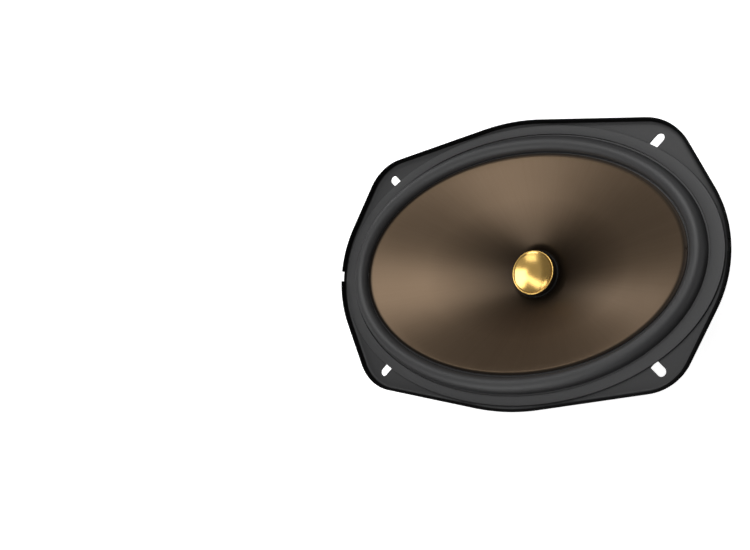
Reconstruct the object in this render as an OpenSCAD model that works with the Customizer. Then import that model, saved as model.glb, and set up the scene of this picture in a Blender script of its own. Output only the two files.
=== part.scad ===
// Oval 6 x 9 inch car woofer with a stamped steel frame and a small built-in low-pass coil.
// Origin: centre of the flange's rear (mounting) face. +Z is the way the cone fires,
// X runs along the oval's long axis. Millimetres.

/* [Flange] */
// Overall length of the flange
flange_length = 237.2; // [232:0.2:245]
// Overall width of the flange
flange_width = 164.8; // [161:0.2:170]
// Radius of the round ends of the outline
end_radius = 69; // [64:0.5:72]
// Radius of the four corners of the outline
corner_radius = 28; // [24:0.5:32]
// Radius of the bowed middle of the long sides
side_radius = 118; // [110:1:130]
// Direction of the short straight edges, from the X axis
end_edge_angle = 26.4; // [25:0.1:28]
// Direction of the long straight edges, from the X axis
side_edge_angle = 81.1; // [80:0.1:82]
// Thickness of the frame's sheet steel
steel = 1.0; // [0.8:0.1:1.4]
// Height of the turned-up lip above the mounting face
lip_height = 5.0; // [4:0.2:6.5]
// Width of the gap in the lip at each end
lip_gap = 6.3; // [4:0.1:10]
// Depth of the gap in the lip at each end
lip_gap_depth = 2.7; // [1:0.1:3]
// Mounting slot centre along X
slot_x = 83.1; // [82:0.1:85]
// Mounting slot centre along Y
slot_y = 59.4; // [59:0.1:61]
// Width of a mounting slot
slot_width = 5.0; // [4:0.1:5.5]
// Length of a mounting slot, round end included
slot_length = 7.8; // [7:0.1:10]
// Direction of a mounting slot, from the X axis
slot_angle = 45; // [35:1:50]

/* [Frame bowl] */
// Half length of the bowl's mouth, inside
bowl_mouth_x = 104.5; // [104:0.1:105]
// Half width of the bowl's mouth, inside
bowl_mouth_y = 69; // [68.5:0.1:69.5]
// Depth of the closed wall under the flange
wall_depth = 9; // [8:0.5:11]
// How far the closed wall draws in at the ends over its depth
wall_draw_x = 5; // [4:0.1:6]
// How far the closed wall draws in at the sides over its depth
wall_draw_y = 12; // [11.8:0.1:12.2]
// Outer radius of the ledge that the spider stands on
ledge_radius = 54; // [53.5:0.5:55]
// Depth of the ledge below the mounting face
ledge_depth = 37.3; // [36.8:0.1:38]
// Number of spokes between the wall and the ledge
spoke_count = 8; // [8]
// Angle that one spoke covers
spoke_angle = 16; // [12:1:20]

/* [Magnet system] */
// Diameter of the ferrite ring
magnet_d = 82; // [78:0.5:86]
// Height of the ferrite ring
magnet_h = 15; // [12:0.5:18]
// Bore of the ferrite ring
magnet_bore_d = 34; // [32:0.5:38]
// Diameter of the front plate
top_plate_d = 78; // [74:0.5:80]
// Thickness of the front plate
top_plate_h = 5; // [4:0.5:6]
// Diameter of the yoke's back plate
yoke_d = 76; // [72:0.5:78]
// Thickness of the yoke's back plate
yoke_h = 5; // [4:0.5:7]
// Diameter of the vent through the pole
vent_d = 9; // [6:0.5:11]

/* [Voice coil] */
// Inside diameter of the former
former_inner_d = 25.2; // [25:0.1:25.4]
// Wall of the former
former_wall = 0.3; // [0.2:0.05:0.4]
// Height of the winding
winding_h = 12; // [8:0.5:13]
// Thickness of the winding
winding_t = 0.58; // [0.4:0.02:0.6]
// Free space each side of the coil in the gap
gap_clearance = 0.4; // [0.35:0.05:0.6]

/* [Cone and suspension] */
// Half length of the cone at its edge
cone_x = 98.3; // [97:0.1:98.5]
// Half width of the cone at its edge
cone_y = 62.5; // [61:0.1:62.7]
// Height of the cone's edge above the mounting face
cone_edge_z = 3.3; // [2.5:0.1:4]
// Depth of the cone's neck below the mounting face
neck_depth = 31.2; // [30:0.1:32]
// Thickness of the cone
cone_wall = 0.8; // [0.5:0.1:0.9]
// Half length of the groove round the surround
groove_x = 109; // [108.5:0.1:109.5]
// Half width of the groove round the surround
groove_y = 73.9; // [73.5:0.1:74.2]
// Height of the surround's roll above its foot
roll_height = 5.6; // [4:0.1:6]
// Thickness of the rubber
rubber = 0.7; // [0.5:0.1:0.9]
// Depth of the spider's middle below the mounting face
spider_depth = 37; // [36.9:0.05:37]
// Height of a wave of the spider
spider_wave = 1.2; // [0.6:0.1:1.3]

/* [Crossover coil] */
// Length of the copper winding
inductor_length = 24; // [18:0.5:26]
// Diameter of the copper winding
inductor_d = 9.4; // [8:0.2:9.6]
// Place of the winding's middle along X
inductor_x = -6.7; // [-8:0.1:-5]
// Length of the board
board_length = 51; // [48:1:54]
// Thickness of the board
board_t = 1.6; // [1.2:0.2:2]

/* [Hidden] */
$fn = 96;

// Fit between glued pieces, and steps round an oval
glue_gap = 0.1;
oval_steps = 96;
arc_step = 5;
rim_flat = 1.9;

// The two directions of the straight edges fix the corner circle's centre
end_reach = (flange_length/2 - end_radius)*cos(end_edge_angle) + end_radius;
side_reach = (flange_width/2 - side_radius)*sin(side_edge_angle) + side_radius;
turn = sin(side_edge_angle - end_edge_angle);
corner_x = ((end_reach - corner_radius)*sin(side_edge_angle)
            - (side_reach - corner_radius)*sin(end_edge_angle))/turn;
corner_y = ((side_reach - corner_radius)*cos(end_edge_angle)
            - (end_reach - corner_radius)*cos(side_edge_angle))/turn;

// Levels along Z, from the front to the back
gasket_top = 2.4;
gasket_x = 116;
gasket_y = 79;
ledge_z = -ledge_depth;
cup_depth = 7.2;
cup_z = ledge_z - cup_depth;
plate_z = cup_z - steel;
magnet_z = plate_z - top_plate_h;
yoke_z = magnet_z - magnet_h;
back_z = yoke_z - yoke_h;

// Radii round the coil
former_r = former_inner_d/2 + former_wall;
coil_r = former_r + winding_t + 0.02;
pole_r = former_inner_d/2 - gap_clearance;
gap_bore_r = coil_r + gap_clearance + 0.05;
neck_r = former_r + glue_gap;

// Bowl wall: the outside of the closed wall's foot, where the spokes begin
wall_foot_x = bowl_mouth_x + steel - wall_draw_x;
wall_foot_y = bowl_mouth_y + steel - wall_draw_y;
spoke_top_z = 1 - wall_depth;
spoke_t = 1.2;
ledge_width = 8;

// Rivets through the plates, and the leads' joints on the former
rivet_ring = 30;
rivet_r = 2;
lead_joint_z = -34.6;
lead_joint_side = 5.5;

// Spider
spider_flat_r = 16;
spider_foot_r = 44;
spider_edge_r = 51.5;
spider_t = 0.5;
spider_waves = 5;
spider_steps = 6;

// The board lies along the outside of the spoke on the -Y side
board_tilt = atan((wall_foot_y - ledge_radius - 0.4)/(ledge_depth + spoke_top_z));
board_y = -(wall_foot_y + 0.6);
board_left = -22;
board_top = -3;
board_bottom = -31;
inductor_lift = board_t + inductor_d/2 + 0.5;
inductor_z = -20.4;
tie_x = -15.2;
tie_leg = inductor_d/2 + 0.8;
core_d = 5;
wire_r = 0.45;
screw_x = 8;
screw_z = -7;
rivet_x = 20.5;
positive_z = -9.5;
negative_z = -19.8;
blade_x = 25.9;
blade_t = 0.8;
blade_length = 7;
tinsel_r = 0.6;

// ---- outlines and sweeps ----

function arc(cx, cy, r, a0, a1) =
    let (n = ceil(abs(a1 - a0)/arc_step))
    [for (i = [0:n]) let (a = a0 + (a1 - a0)*i/n) [cx + r*cos(a), cy + r*sin(a)]];

// A quarter of the flange outline from +X to +Y, drawn in by a given distance
function quarter(inset) = concat(
    arc(flange_length/2 - end_radius, 0, end_radius - inset, 0, end_edge_angle),
    arc(corner_x, corner_y, corner_radius - inset, end_edge_angle, side_edge_angle),
    arc(0, flange_width/2 - side_radius, side_radius - inset, side_edge_angle, 90));

function backwards(list) = [for (i = [len(list) - 1:-1:0]) list[i]];
function tail(list) = [for (i = [1:len(list) - 1]) list[i]];
function flipped(list, sx, sy) = [for (p = list) [sx*p[0], sy*p[1]]];

function flange_outline(inset) =
    let (q = quarter(inset), r = backwards(q))
    concat(q, tail(flipped(r, -1, 1)), tail(flipped(q, -1, -1)),
           tail(backwards(tail(flipped(q, 1, -1)))));

function oval(rx, ry) =
    [for (i = [0:oval_steps - 1]) let (a = 360*i/oval_steps) [rx*cos(a), ry*sin(a)]];

// Sweeps a closed loop of [rx, ry, z] points round the oval; the loop runs anticlockwise
module oval_sweep(loop) {
    m = len(loop);
    n = oval_steps;
    points = [for (i = [0:n - 1]) for (p = loop)
              [p[0]*cos(360*i/n), p[1]*sin(360*i/n), p[2]]];
    faces = [for (i = [0:n - 1]) for (j = [0:m - 1])
             let (i2 = (i + 1)%n, j2 = (j + 1)%m)
             each [[i*m + j, i*m + j2, i2*m + j2], [i*m + j, i2*m + j2, i2*m + j]]];
    polyhedron(points, faces, convexity = 8);
}

function unit(v) = v/norm(v);
function heading(p, i) = unit(p[min(i + 1, len(p) - 1)] - p[max(i - 1, 0)]);

// Sweeps a round tube along a list of points
module tube(p, r, sides = 8) {
    n = len(p);
    up = [0.31, 0.17, 0.94];
    points = [for (i = [0:n - 1])
              let (t = heading(p, i), s = unit(cross(t, up)), u = cross(s, t))
              each [for (k = [0:sides - 1]) let (a = 360*k/sides)
                    p[i] + r*(cos(a)*s + sin(a)*u)]];
    walls = [for (i = [0:n - 2]) for (k = [0:sides - 1])
             let (k2 = (k + 1)%sides)
             each [[i*sides + k, (i + 1)*sides + k2, (i + 1)*sides + k],
                   [i*sides + k, i*sides + k2, (i + 1)*sides + k2]]];
    near_cap = [for (k = [0:sides - 1]) sides - 1 - k];
    far_cap = [for (k = [0:sides - 1]) (n - 1)*sides + k];
    polyhedron(points, concat(walls, [near_cap, far_cap]), convexity = 4);
}

function bezier(a, b, c, d, n) =
    [for (i = [0:n]) let (t = i/n, w = 1 - t)
     w*w*w*a + 3*w*w*t*b + 3*w*t*t*c + t*t*t*d];

module ring(outer, inner, z0, z1) {
    translate([0, 0, z0])
        difference() {
            cylinder(r = outer, h = z1 - z0);
            translate([0, 0, -1]) cylinder(r = inner, h = z1 - z0 + 2);
        }
}

module on_board() {
    translate([0, board_y, spoke_top_z]) rotate([board_tilt, 0, 0]) children();
}

// A point given along the board, away from it and down it, in the object's frame
function board_point(x, away, down) = [
    x,
    board_y - away*cos(board_tilt) + down*sin(board_tilt),
    spoke_top_z - away*sin(board_tilt) - down*cos(board_tilt)
];

// ---- frame ----

module slot_cutter() {
    r = slot_width/2;
    half = slot_length/2;
    for (sx = [-1, 1], sy = [-1, 1])
        mirror([sx < 0 ? 1 : 0, 0, 0]) mirror([0, sy < 0 ? 1 : 0, 0])
            translate([slot_x, slot_y, -1]) rotate([0, 0, slot_angle]) {
                translate([half - r, 0, 0]) cylinder(r = r, h = steel + 2, $fn = 32);
                translate([-half, -r, 0]) cube([slot_length - r, slot_width, steel + 2]);
            }
}

module flange() {
    difference() {
        linear_extrude(height = steel)
            difference() {
                polygon(flange_outline(0));
                polygon(oval(bowl_mouth_x, bowl_mouth_y));
            }
        slot_cutter();
    }
    difference() {
        linear_extrude(height = lip_height)
            difference() {
                polygon(flange_outline(0));
                polygon(flange_outline(steel));
            }
        for (side = [-1, 1])
            translate([side*flange_length/2 - 5, -lip_gap/2, lip_height - lip_gap_depth])
                cube([10, lip_gap, lip_gap_depth + 1]);
    }
}

module bowl_wall() {
    in_x = bowl_mouth_x + 0.1;
    in_y = bowl_mouth_y + 0.1;
    oval_sweep([
        [wall_foot_x - steel, wall_foot_y - steel, -wall_depth],
        [wall_foot_x, wall_foot_y, -wall_depth],
        [in_x + steel - 1, in_y + steel - 1, -wall_depth*0.3],
        [in_x + steel, in_y + steel, steel/2],
        [in_x, in_y, steel/2],
        [in_x - 1, in_y - 1, -wall_depth*0.3]
    ]);
}

// One spoke: a curved strip from the wall's foot to the ledge
module spoke(middle) {
    across = 4;
    along = 5;
    z1 = ledge_z - steel/2;
    function strip(wall) =
        [for (j = [0:along]) for (i = [0:across])
         let (t = j/along, a = middle + spoke_angle*(i/across - 0.5),
              rx = (wall_foot_x + 0.2)*(1 - t) + (ledge_radius + 0.6)*t - wall,
              ry = (wall_foot_y + 0.2)*(1 - t) + (ledge_radius + 0.6)*t - wall)
         [rx*cos(a), ry*sin(a), spoke_top_z + (z1 - spoke_top_z)*t]];
    w = across + 1;
    m = w*(along + 1);
    points = concat(strip(0), strip(spoke_t));
    skin = [for (j = [0:along - 1]) for (i = [0:across - 1])
            let (a = j*w + i)
            each [[a, a + w + 1, a + w], [a, a + 1, a + w + 1],
                  [m + a, m + a + w, m + a + w + 1], [m + a, m + a + w + 1, m + a + 1]]];
    ends = [for (i = [0:across - 1])
            each [[i, m + i + 1, i + 1], [i, m + i, m + i + 1],
                  [m - w + i, 2*m - w + i + 1, 2*m - w + i],
                  [m - w + i, m - w + i + 1, 2*m - w + i + 1]]];
    edges = [for (j = [0:along - 1])
             let (a = j*w, b = j*w + across)
             each [[a, m + a + w, m + a], [a, a + w, m + a + w],
                   [b, m + b, m + b + w], [b, m + b + w, b + w]]];
    polyhedron(points, concat(skin, ends, edges), convexity = 4);
}

module cup() {
    rotate_extrude()
        polygon([
            [ledge_radius, ledge_z], [ledge_radius - ledge_width - 0.8, ledge_z],
            [ledge_radius - ledge_width - 2.5, cup_z], [coil_r + 2.5, cup_z],
            [coil_r + 2.5, plate_z], [ledge_radius - ledge_width - 1.7, plate_z],
            [ledge_radius - ledge_width, ledge_z - steel], [ledge_radius, ledge_z - steel]
        ]);
}

module on_rivets() {
    for (i = [0:3]) rotate([0, 0, 45 + 90*i]) translate([rivet_ring, 0, 0]) children();
}

module basket() {
    color("#1f2022")
        difference() {
            union() {
                flange();
                bowl_wall();
                for (i = [0:spoke_count - 1]) spoke(90 + 360*i/spoke_count);
                cup();
                // flat pad that the board is screwed to
                on_board() translate([-11, 0.05, -29.6]) cube([22, 1.3, 27]);
            }
            on_rivets() translate([0, 0, plate_z - 1]) cylinder(r = rivet_r + 0.1, h = 4);
            on_board()
                for (side = [-1, 1])
                    translate([side*screw_x, 5, screw_z]) rotate([90, 0, 0])
                        cylinder(r = 1.3, h = 6, $fn = 24);
        }
}

module front_gasket() {
    color("#2a2b2d")
        translate([0, 0, steel + 0.02])
            linear_extrude(height = gasket_top - steel - 0.02)
                difference() {
                    polygon(oval(gasket_x, gasket_y));
                    polygon(oval(groove_x, groove_y));
                }
}

// ---- suspension ----

// u runs from 0 at the cone's edge to 1 at the groove
function roll_point(u, z) = [cone_x + (groove_x - cone_x)*u, cone_y + (groove_y - cone_y)*u, z];

module surround() {
    span = (groove_x - cone_x);
    inner_z = cone_edge_z - cone_wall - glue_gap;
    outer_z = steel + glue_gap + rubber;
    middle = 0.49;
    half = 0.42;
    function roll(wall) = [
        for (a = [180:-15:0])
        roll_point(middle + (half - wall/span)*cos(a),
                   inner_z + (outer_z - inner_z)*(1 - cos(a))/2 - wall*0.02
                   + (roll_height - wall)*sin(a) - (a == 0 || a == 180 ? wall : 0))
    ];
    color("#161617")
        oval_sweep(concat(
            [roll_point(-0.14, inner_z - rubber)], roll(rubber), [roll_point(0.985, outer_z - rubber)],
            [roll_point(0.985, outer_z)], backwards(roll(0)), [roll_point(-0.14, inner_z)]));
}

module spider() {
    pitch = (spider_foot_r - spider_flat_r)/spider_waves;
    n = spider_waves*spider_steps;
    wave = [for (i = [0:n]) let (r = spider_flat_r + pitch*i/spider_steps)
            [r, -spider_depth + spider_wave*sin(360*i/spider_steps)]];
    line = concat([[former_r + glue_gap, -spider_depth]], wave, [[spider_edge_r, -spider_depth]]);
    color("#b98f52")
        rotate_extrude()
            polygon(concat([for (p = line) [p[0], p[1] - spider_t/2]],
                           backwards([for (p = line) [p[0], p[1] + spider_t/2]])));
}

// ---- magnet system ----

module top_plate() {
    color("#8d9093")
        difference() {
            ring(top_plate_d/2, gap_bore_r, magnet_z, plate_z);
            on_rivets() translate([0, 0, plate_z - 3]) cylinder(r = rivet_r + 0.1, h = 4);
        }
}

module magnet() {
    r = magnet_d/2;
    bevel = 0.8;
    color("#2b2b2e")
        rotate_extrude()
            polygon([[magnet_bore_d/2, yoke_z], [r - bevel, yoke_z], [r, yoke_z + bevel],
                     [r, magnet_z - bevel], [r - bevel, magnet_z], [magnet_bore_d/2, magnet_z]]);
}

module yoke() {
    color("#8d9093")
        difference() {
            union() {
                translate([0, 0, back_z]) cylinder(r = yoke_d/2, h = yoke_h);
                translate([0, 0, back_z]) cylinder(r = pole_r, h = cup_z - back_z);
            }
            translate([0, 0, back_z - 1]) cylinder(r = vent_d/2, h = 60);
            translate([0, 0, back_z - 0.01])
                cylinder(r1 = vent_d/2 + 2.5, r2 = vent_d/2, h = 2.5);
        }
}

module plate_rivets() {
    color("#a7a9ac")
        on_rivets() {
            translate([0, 0, plate_z - 2.8]) cylinder(r = rivet_r, h = 3.8);
            translate([0, 0, cup_z + 0.02]) cylinder(r = 3.2, h = 0.8);
        }
}

// ---- crossover ----

module crossover_board() {
    color("#121314")
        on_board()
            difference() {
                translate([board_left, -board_t, board_bottom])
                    cube([board_length, board_t, board_top - board_bottom]);
                for (side = [-1, 1])
                    translate([side*screw_x, 1, screw_z]) rotate([90, 0, 0])
                        cylinder(r = 1.6, h = board_t + 2, $fn = 24);
                for (z = [positive_z, negative_z])
                    translate([rivet_x, 1, z]) rotate([90, 0, 0])
                        cylinder(r = 1.3, h = board_t + 2, $fn = 24);
                for (side = [-1, 1])
                    translate([tie_x - 1.2, -board_t - 1, inductor_z + side*tie_leg - 1])
                        cube([2.4, board_t + 2, 2]);
            }
}

module board_screws() {
    color("#9a9c9f")
        on_board()
            for (side = [-1, 1])
                translate([side*screw_x, 0, screw_z]) rotate([90, 0, 0]) {
                    translate([0, 0, -2.6]) cylinder(r = 1.2, h = 4.4, $fn = 24);
                    translate([0, 0, board_t + 0.05]) cylinder(r = 2.7, h = 1.5, $fn = 24);
                }
}

// Turns the coil's own axis from Z to X and puts it over the board
module on_inductor() {
    on_board()
        translate([inductor_x, -inductor_lift, inductor_z]) rotate([0, 90, 0]) children();
}

module inductor_core() {
    color("#1b1b1d")
        on_inductor()
            translate([0, 0, -inductor_length/2 - 2.4])
                cylinder(r = core_d/2, h = inductor_length + 3.4, $fn = 32);
}

module inductor_winding() {
    color("#a5552c")
        on_inductor()
            ring(inductor_d/2, core_d/2 + 0.05, -inductor_length/2, inductor_length/2);
}

module inductor_tie() {
    color("#0e0e0f")
        on_board()
            translate([tie_x, 0, inductor_z]) {
                translate([0, -inductor_lift, 0]) rotate([0, 90, 0])
                    ring(inductor_d/2 + 0.4, inductor_d/2 + 0.05, -0.8, 0.8);
                for (side = [-1, 1])
                    translate([-0.8, -inductor_lift, side*tie_leg - 0.5])
                        cube([1.6, inductor_lift - 0.05, 1]);
            }
}

module inductor_leads() {
    color("#c07a4a") {
        tube([
            board_point(5.5, 3.4, 22.9), board_point(6.6, 3.0, 23.4), board_point(8, 2.8, 23.6),
            board_point(11, 2.8, 23.6), board_point(14, 2.8, 23.5), board_point(15.4, 2.9, 22.8),
            board_point(16.2, 3.0, 21.6)
        ], wire_r);
        tube([
            board_point(5.5, 5.0, 25.2), board_point(6.8, 5.1, 25.8), board_point(8.6, 5.0, 25.9),
            board_point(9.8, 4.5, 25.9), board_point(10.4, 3.6, 25.9), board_point(10.5, 2.2, 25.9)
        ], wire_r);
    }
}

// A spade terminal: a foot riveted to the board and a blade standing out from it
module spade(width, z) {
    foot_left = 16;
    color("#c9b27a")
        on_board()
            difference() {
                union() {
                    translate([foot_left, -board_t - 0.02 - blade_t, z - width/2])
                        cube([blade_x + blade_t - foot_left, blade_t, width]);
                    translate([blade_x, -board_t - blade_length, z - width/2])
                        cube([blade_t, blade_length - 0.02, width]);
                }
                translate([rivet_x, 0, z]) rotate([90, 0, 0])
                    cylinder(r = 1.3, h = 6, $fn = 24);
                translate([blade_x - 1, -board_t - blade_length*0.66, z]) rotate([0, 90, 0])
                    cylinder(r = 0.8, h = 3, $fn = 24);
            }
}

module terminal_positive() { spade(6.3, positive_z); }
module terminal_negative() { spade(4.8, negative_z); }

module terminal_rivets() {
    color("#b9bbbe")
        on_board()
            for (z = [positive_z, negative_z])
                translate([rivet_x, 0, z]) rotate([90, 0, 0]) {
                    translate([0, 0, -0.7]) cylinder(r = 1.2, h = 3.5, $fn = 24);
                    translate([0, 0, -0.75]) cylinder(r = 2.0, h = 0.7, $fn = 24);
                    translate([0, 0, board_t + blade_t + 0.04]) cylinder(r = 2.0, h = 0.6, $fn = 24);
                }
}

// ---- flexible leads ----

module tinsel_lead(side, from_z) {
    start = board_point(rivet_x, -1.6, -from_z);
    out_r = former_r + 0.5 + 0.1 + tinsel_r;
    a = asin(lead_joint_side/out_r);
    stop = [side*out_r*sin(a), -out_r*cos(a), lead_joint_z];
    away = [side*(out_r + 14)*sin(a), -(out_r + 14)*cos(a), lead_joint_z + 1];
    drop = start + [-0.5, 9, side > 0 ? -4 : -2];
    color("#b98a5a") tube(bezier(start, drop, away, stop, 24), tinsel_r);
}

module tinsel_lead_positive() { tinsel_lead(1, positive_z); }
module tinsel_lead_negative() { tinsel_lead(-1, negative_z); }

// ---- moving parts ----

module cone() {
    rim_x = cone_x - rim_flat;
    rim_y = cone_y - rim_flat;
    foot_r = neck_r + 1.6;
    z0 = -neck_depth;
    steps = 5;
    front = [for (i = [0:steps]) let (t = i/steps)
             [foot_r + (rim_x - foot_r)*t, foot_r + (rim_y - foot_r)*t, z0 + (cone_edge_z + neck_depth)*t]];
    back = [for (p = front) [p[0] + 0.15, p[1] + 0.15, p[2] - cone_wall]];
    color("#6b5a4b")
        oval_sweep(concat(
            [[neck_r, neck_r, z0 - 2.4], [neck_r + 0.8, neck_r + 0.8, z0 - 2.4],
             [neck_r + 0.9, neck_r + 0.9, z0 - cone_wall]],
            back,
            [[cone_x, cone_y, cone_edge_z - cone_wall], [cone_x, cone_y, cone_edge_z]],
            backwards(front),
            [[neck_r, neck_r, z0]]));
}

module dust_cap() {
    r = former_r + 0.3;
    top = -25.4;
    dish = 3.0;
    wall = 0.25;
    curve = [for (i = [0:8]) let (u = i/8) [(r - 0.6)*u, top - 0.15 - dish*(1 - u*u)]];
    color("#d9b048")
        rotate_extrude()
            polygon(concat(
                curve, [[r - 0.35, top], [r - 0.08, top - 0.15], [r, top - 0.45],
                        [r, -neck_depth + 0.1], [r - wall, -neck_depth + 0.1], [r - wall, top - 1.1]],
                backwards([for (p = curve) [p[0]*0.96, p[1] - 0.5]])));
}

module voice_coil_former() {
    color("#c9cbcd")
        ring(former_r, former_inner_d/2, plate_z - top_plate_h/2 - winding_h/2 - 1, -26.6);
}

module voice_coil() {
    middle = plate_z - top_plate_h/2;
    color("#b5652f")
        ring(coil_r, former_r + 0.02, middle - winding_h/2, middle + winding_h/2);
}

module neck_adhesive() {
    r = former_r + 0.35;
    color("#141414")
        rotate_extrude()
            polygon([[r, -neck_depth + 0.05], [r + 1.2, -neck_depth + 0.05], [r + 0.5, -neck_depth + 0.4],
                     [r, -neck_depth + 1.1]]);
}

module lead_joints() {
    color("#c8c9cb")
        for (side = [-1, 1])
            rotate([0, 0, -90 + side*asin(lead_joint_side/(former_r + 1.2))])
                translate([former_r + 0.04, 0, lead_joint_z]) rotate([0, 90, 0])
                    cylinder(r = 0.9, h = 0.46, $fn = 24);
}

basket();
front_gasket();
surround();
spider();
top_plate();
magnet();
yoke();
plate_rivets();
crossover_board();
board_screws();
inductor_core();
inductor_winding();
inductor_tie();
inductor_leads();
terminal_positive();
terminal_negative();
terminal_rivets();
tinsel_lead_positive();
tinsel_lead_negative();
cone();
dust_cap();
voice_coil_former();
voice_coil();
neck_adhesive();
lead_joints();
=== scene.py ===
# %% [markdown]
# # An oval car woofer, built piece by piece
#
# The CAD model of this woofer already fixes every size and place. This lesson dresses it: each CAD node
# either gets a better finish or is replaced by a finer mesh of the same size. All lengths are typed in
# millimetres, as on a drawing, and turned into Blender's metres in one place. The origin is the middle of
# the flange's rear face, X runs along the oval and Z points out of the front.

# %% Load the CAD frame
import math

import bmesh
import bpy
import numpy as np
from mathutils import Matrix, Vector


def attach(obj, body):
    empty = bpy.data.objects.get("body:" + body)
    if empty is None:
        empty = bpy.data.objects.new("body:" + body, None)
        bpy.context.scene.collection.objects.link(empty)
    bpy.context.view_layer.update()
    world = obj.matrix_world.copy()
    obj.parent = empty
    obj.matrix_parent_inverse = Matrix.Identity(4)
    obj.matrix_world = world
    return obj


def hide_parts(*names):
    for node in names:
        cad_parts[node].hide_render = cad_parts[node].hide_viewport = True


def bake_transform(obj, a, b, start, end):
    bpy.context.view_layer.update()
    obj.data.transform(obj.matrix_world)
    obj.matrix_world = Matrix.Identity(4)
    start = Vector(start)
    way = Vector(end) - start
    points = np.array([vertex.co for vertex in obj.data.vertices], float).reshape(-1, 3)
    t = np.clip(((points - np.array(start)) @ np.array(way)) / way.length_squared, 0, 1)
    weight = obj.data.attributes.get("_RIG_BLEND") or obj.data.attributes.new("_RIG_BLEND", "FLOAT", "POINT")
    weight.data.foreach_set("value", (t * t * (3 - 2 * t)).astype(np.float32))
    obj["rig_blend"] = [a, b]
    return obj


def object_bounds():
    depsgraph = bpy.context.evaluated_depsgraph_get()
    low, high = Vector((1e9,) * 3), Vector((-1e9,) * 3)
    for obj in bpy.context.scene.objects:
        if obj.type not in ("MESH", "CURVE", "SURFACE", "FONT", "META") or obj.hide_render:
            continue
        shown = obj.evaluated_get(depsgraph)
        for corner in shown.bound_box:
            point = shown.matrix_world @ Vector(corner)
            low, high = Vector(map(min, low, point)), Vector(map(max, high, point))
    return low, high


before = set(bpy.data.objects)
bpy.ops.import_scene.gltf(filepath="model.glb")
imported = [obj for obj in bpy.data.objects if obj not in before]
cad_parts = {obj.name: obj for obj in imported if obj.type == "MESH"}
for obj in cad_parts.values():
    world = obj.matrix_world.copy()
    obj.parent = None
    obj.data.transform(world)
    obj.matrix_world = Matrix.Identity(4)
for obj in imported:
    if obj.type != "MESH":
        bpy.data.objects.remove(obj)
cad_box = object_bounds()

scene = bpy.context.scene

# %% [markdown]
# ## Camera, floor and light
#
# A product view looks down on the cone from over the right-hand end, with a normal lens. The camera's own
# axes are given as three unit vectors, which is exact and needs no angles.

# %% Camera
MM = 0.001


def metres(*lengths):
    return Vector([MM * length for length in lengths])


camera = bpy.data.objects.new("camera", bpy.data.cameras.new("camera"))
scene.collection.objects.link(camera)
camera.data.sensor_width = 36
camera.data.lens = 42.3
camera.data.clip_end = 20
sight_right = Vector((0.8053, 0.0528, -0.5906))
sight_up = Vector((0.0651, 0.9821, 0.1766))
sight_back = Vector((0.5893, -0.1806, 0.7874))
camera.matrix_world = Matrix.Translation(metres(229.6, -99.5, 434.6)) @ Matrix(
    (sight_right, sight_up, sight_back)).transposed().to_4x4()
scene.camera = camera
scene.view_settings.view_transform = "Standard"
print("camera is", round(camera.location.length, 3), "m from the woofer")

# %% [markdown]
# Soft boxes are large area lights. Each one is placed by the direction in which it stands and turned to
# face the woofer, so it can be thought about as a lamp on a stand. The cone is a mirror for them: a box
# straight above lights the cone's far wall, and a low one at the back lights the opposite wall.

# %% Soft boxes and the room
def soft_box(name, towards, distance, size, radiance, along=(1, 0, 0)):
    """An area light standing in a direction, with its first side laid along a second direction."""
    light = bpy.data.lights.new(name, "AREA")
    light.shape = "RECTANGLE"
    light.size, light.size_y = size
    light.energy = radiance * math.pi * size[0] * size[1]
    stand = bpy.data.objects.new(name, light)
    back = Vector(towards).normalized()
    side = (Vector(along) - back * back.dot(Vector(along))).normalized()
    turn = Matrix((side, back.cross(side), back)).transposed().to_4x4()
    stand.matrix_world = Matrix.Translation(back * distance) @ turn
    stand.visible_camera = False
    scene.collection.objects.link(stand)
    return stand


soft_box("key_above", (0.16, 0.38, 0.91), 1.1, (0.58, 0.92), 2.9)
soft_box("side_front", (-0.42, -0.74, 0.54), 1.2, (0.60, 0.50), 3.5)
soft_box("small_front", (-0.33, -0.40, 0.85), 1.2, (0.55, 0.26), 1.6)
soft_box("back_strip", (-0.42, 0.50, 0.76), 1.2, (1.10, 0.26), 2.0, along=(-0.76, 0.35, -0.54))
soft_box("low_back", (-0.80, 0.54, 0.26), 1.2, (0.24, 0.30), 5.5, along=(0, 1, 0))
soft_box("ceiling", (-0.10, 0.05, 1.0), 1.7, (2.8, 2.8), 0.17)
for side, towards in {"right": (1.0, -0.2, 0.1), "front": (-0.1, -1.0, 0.05),
                      "left": (-1.0, -0.2, 0.02), "back": (0.5, 1.0, 0.05)}.items():
    soft_box(f"fill_{side}", towards, 1.5, (1.3, 0.45), 0.9, along=(towards[1], -towards[0], 0))

room = bpy.data.worlds.new("pale_room")
scene.world = room
room.use_nodes = True
room.node_tree.nodes["Background"].inputs["Color"].default_value = (1, 1, 1, 1)
room.node_tree.nodes["Background"].inputs["Strength"].default_value = 0.16

print(len(bpy.data.lights), "lights")

# %% [markdown]
# ## Writing node maths as Python
#
# Materials and Geometry Nodes are both trees of nodes. Wiring them by hand is slow to read, so one small
# class wraps a socket and overloads the operators: `1 - mask * 2` adds the Math nodes itself.

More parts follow.
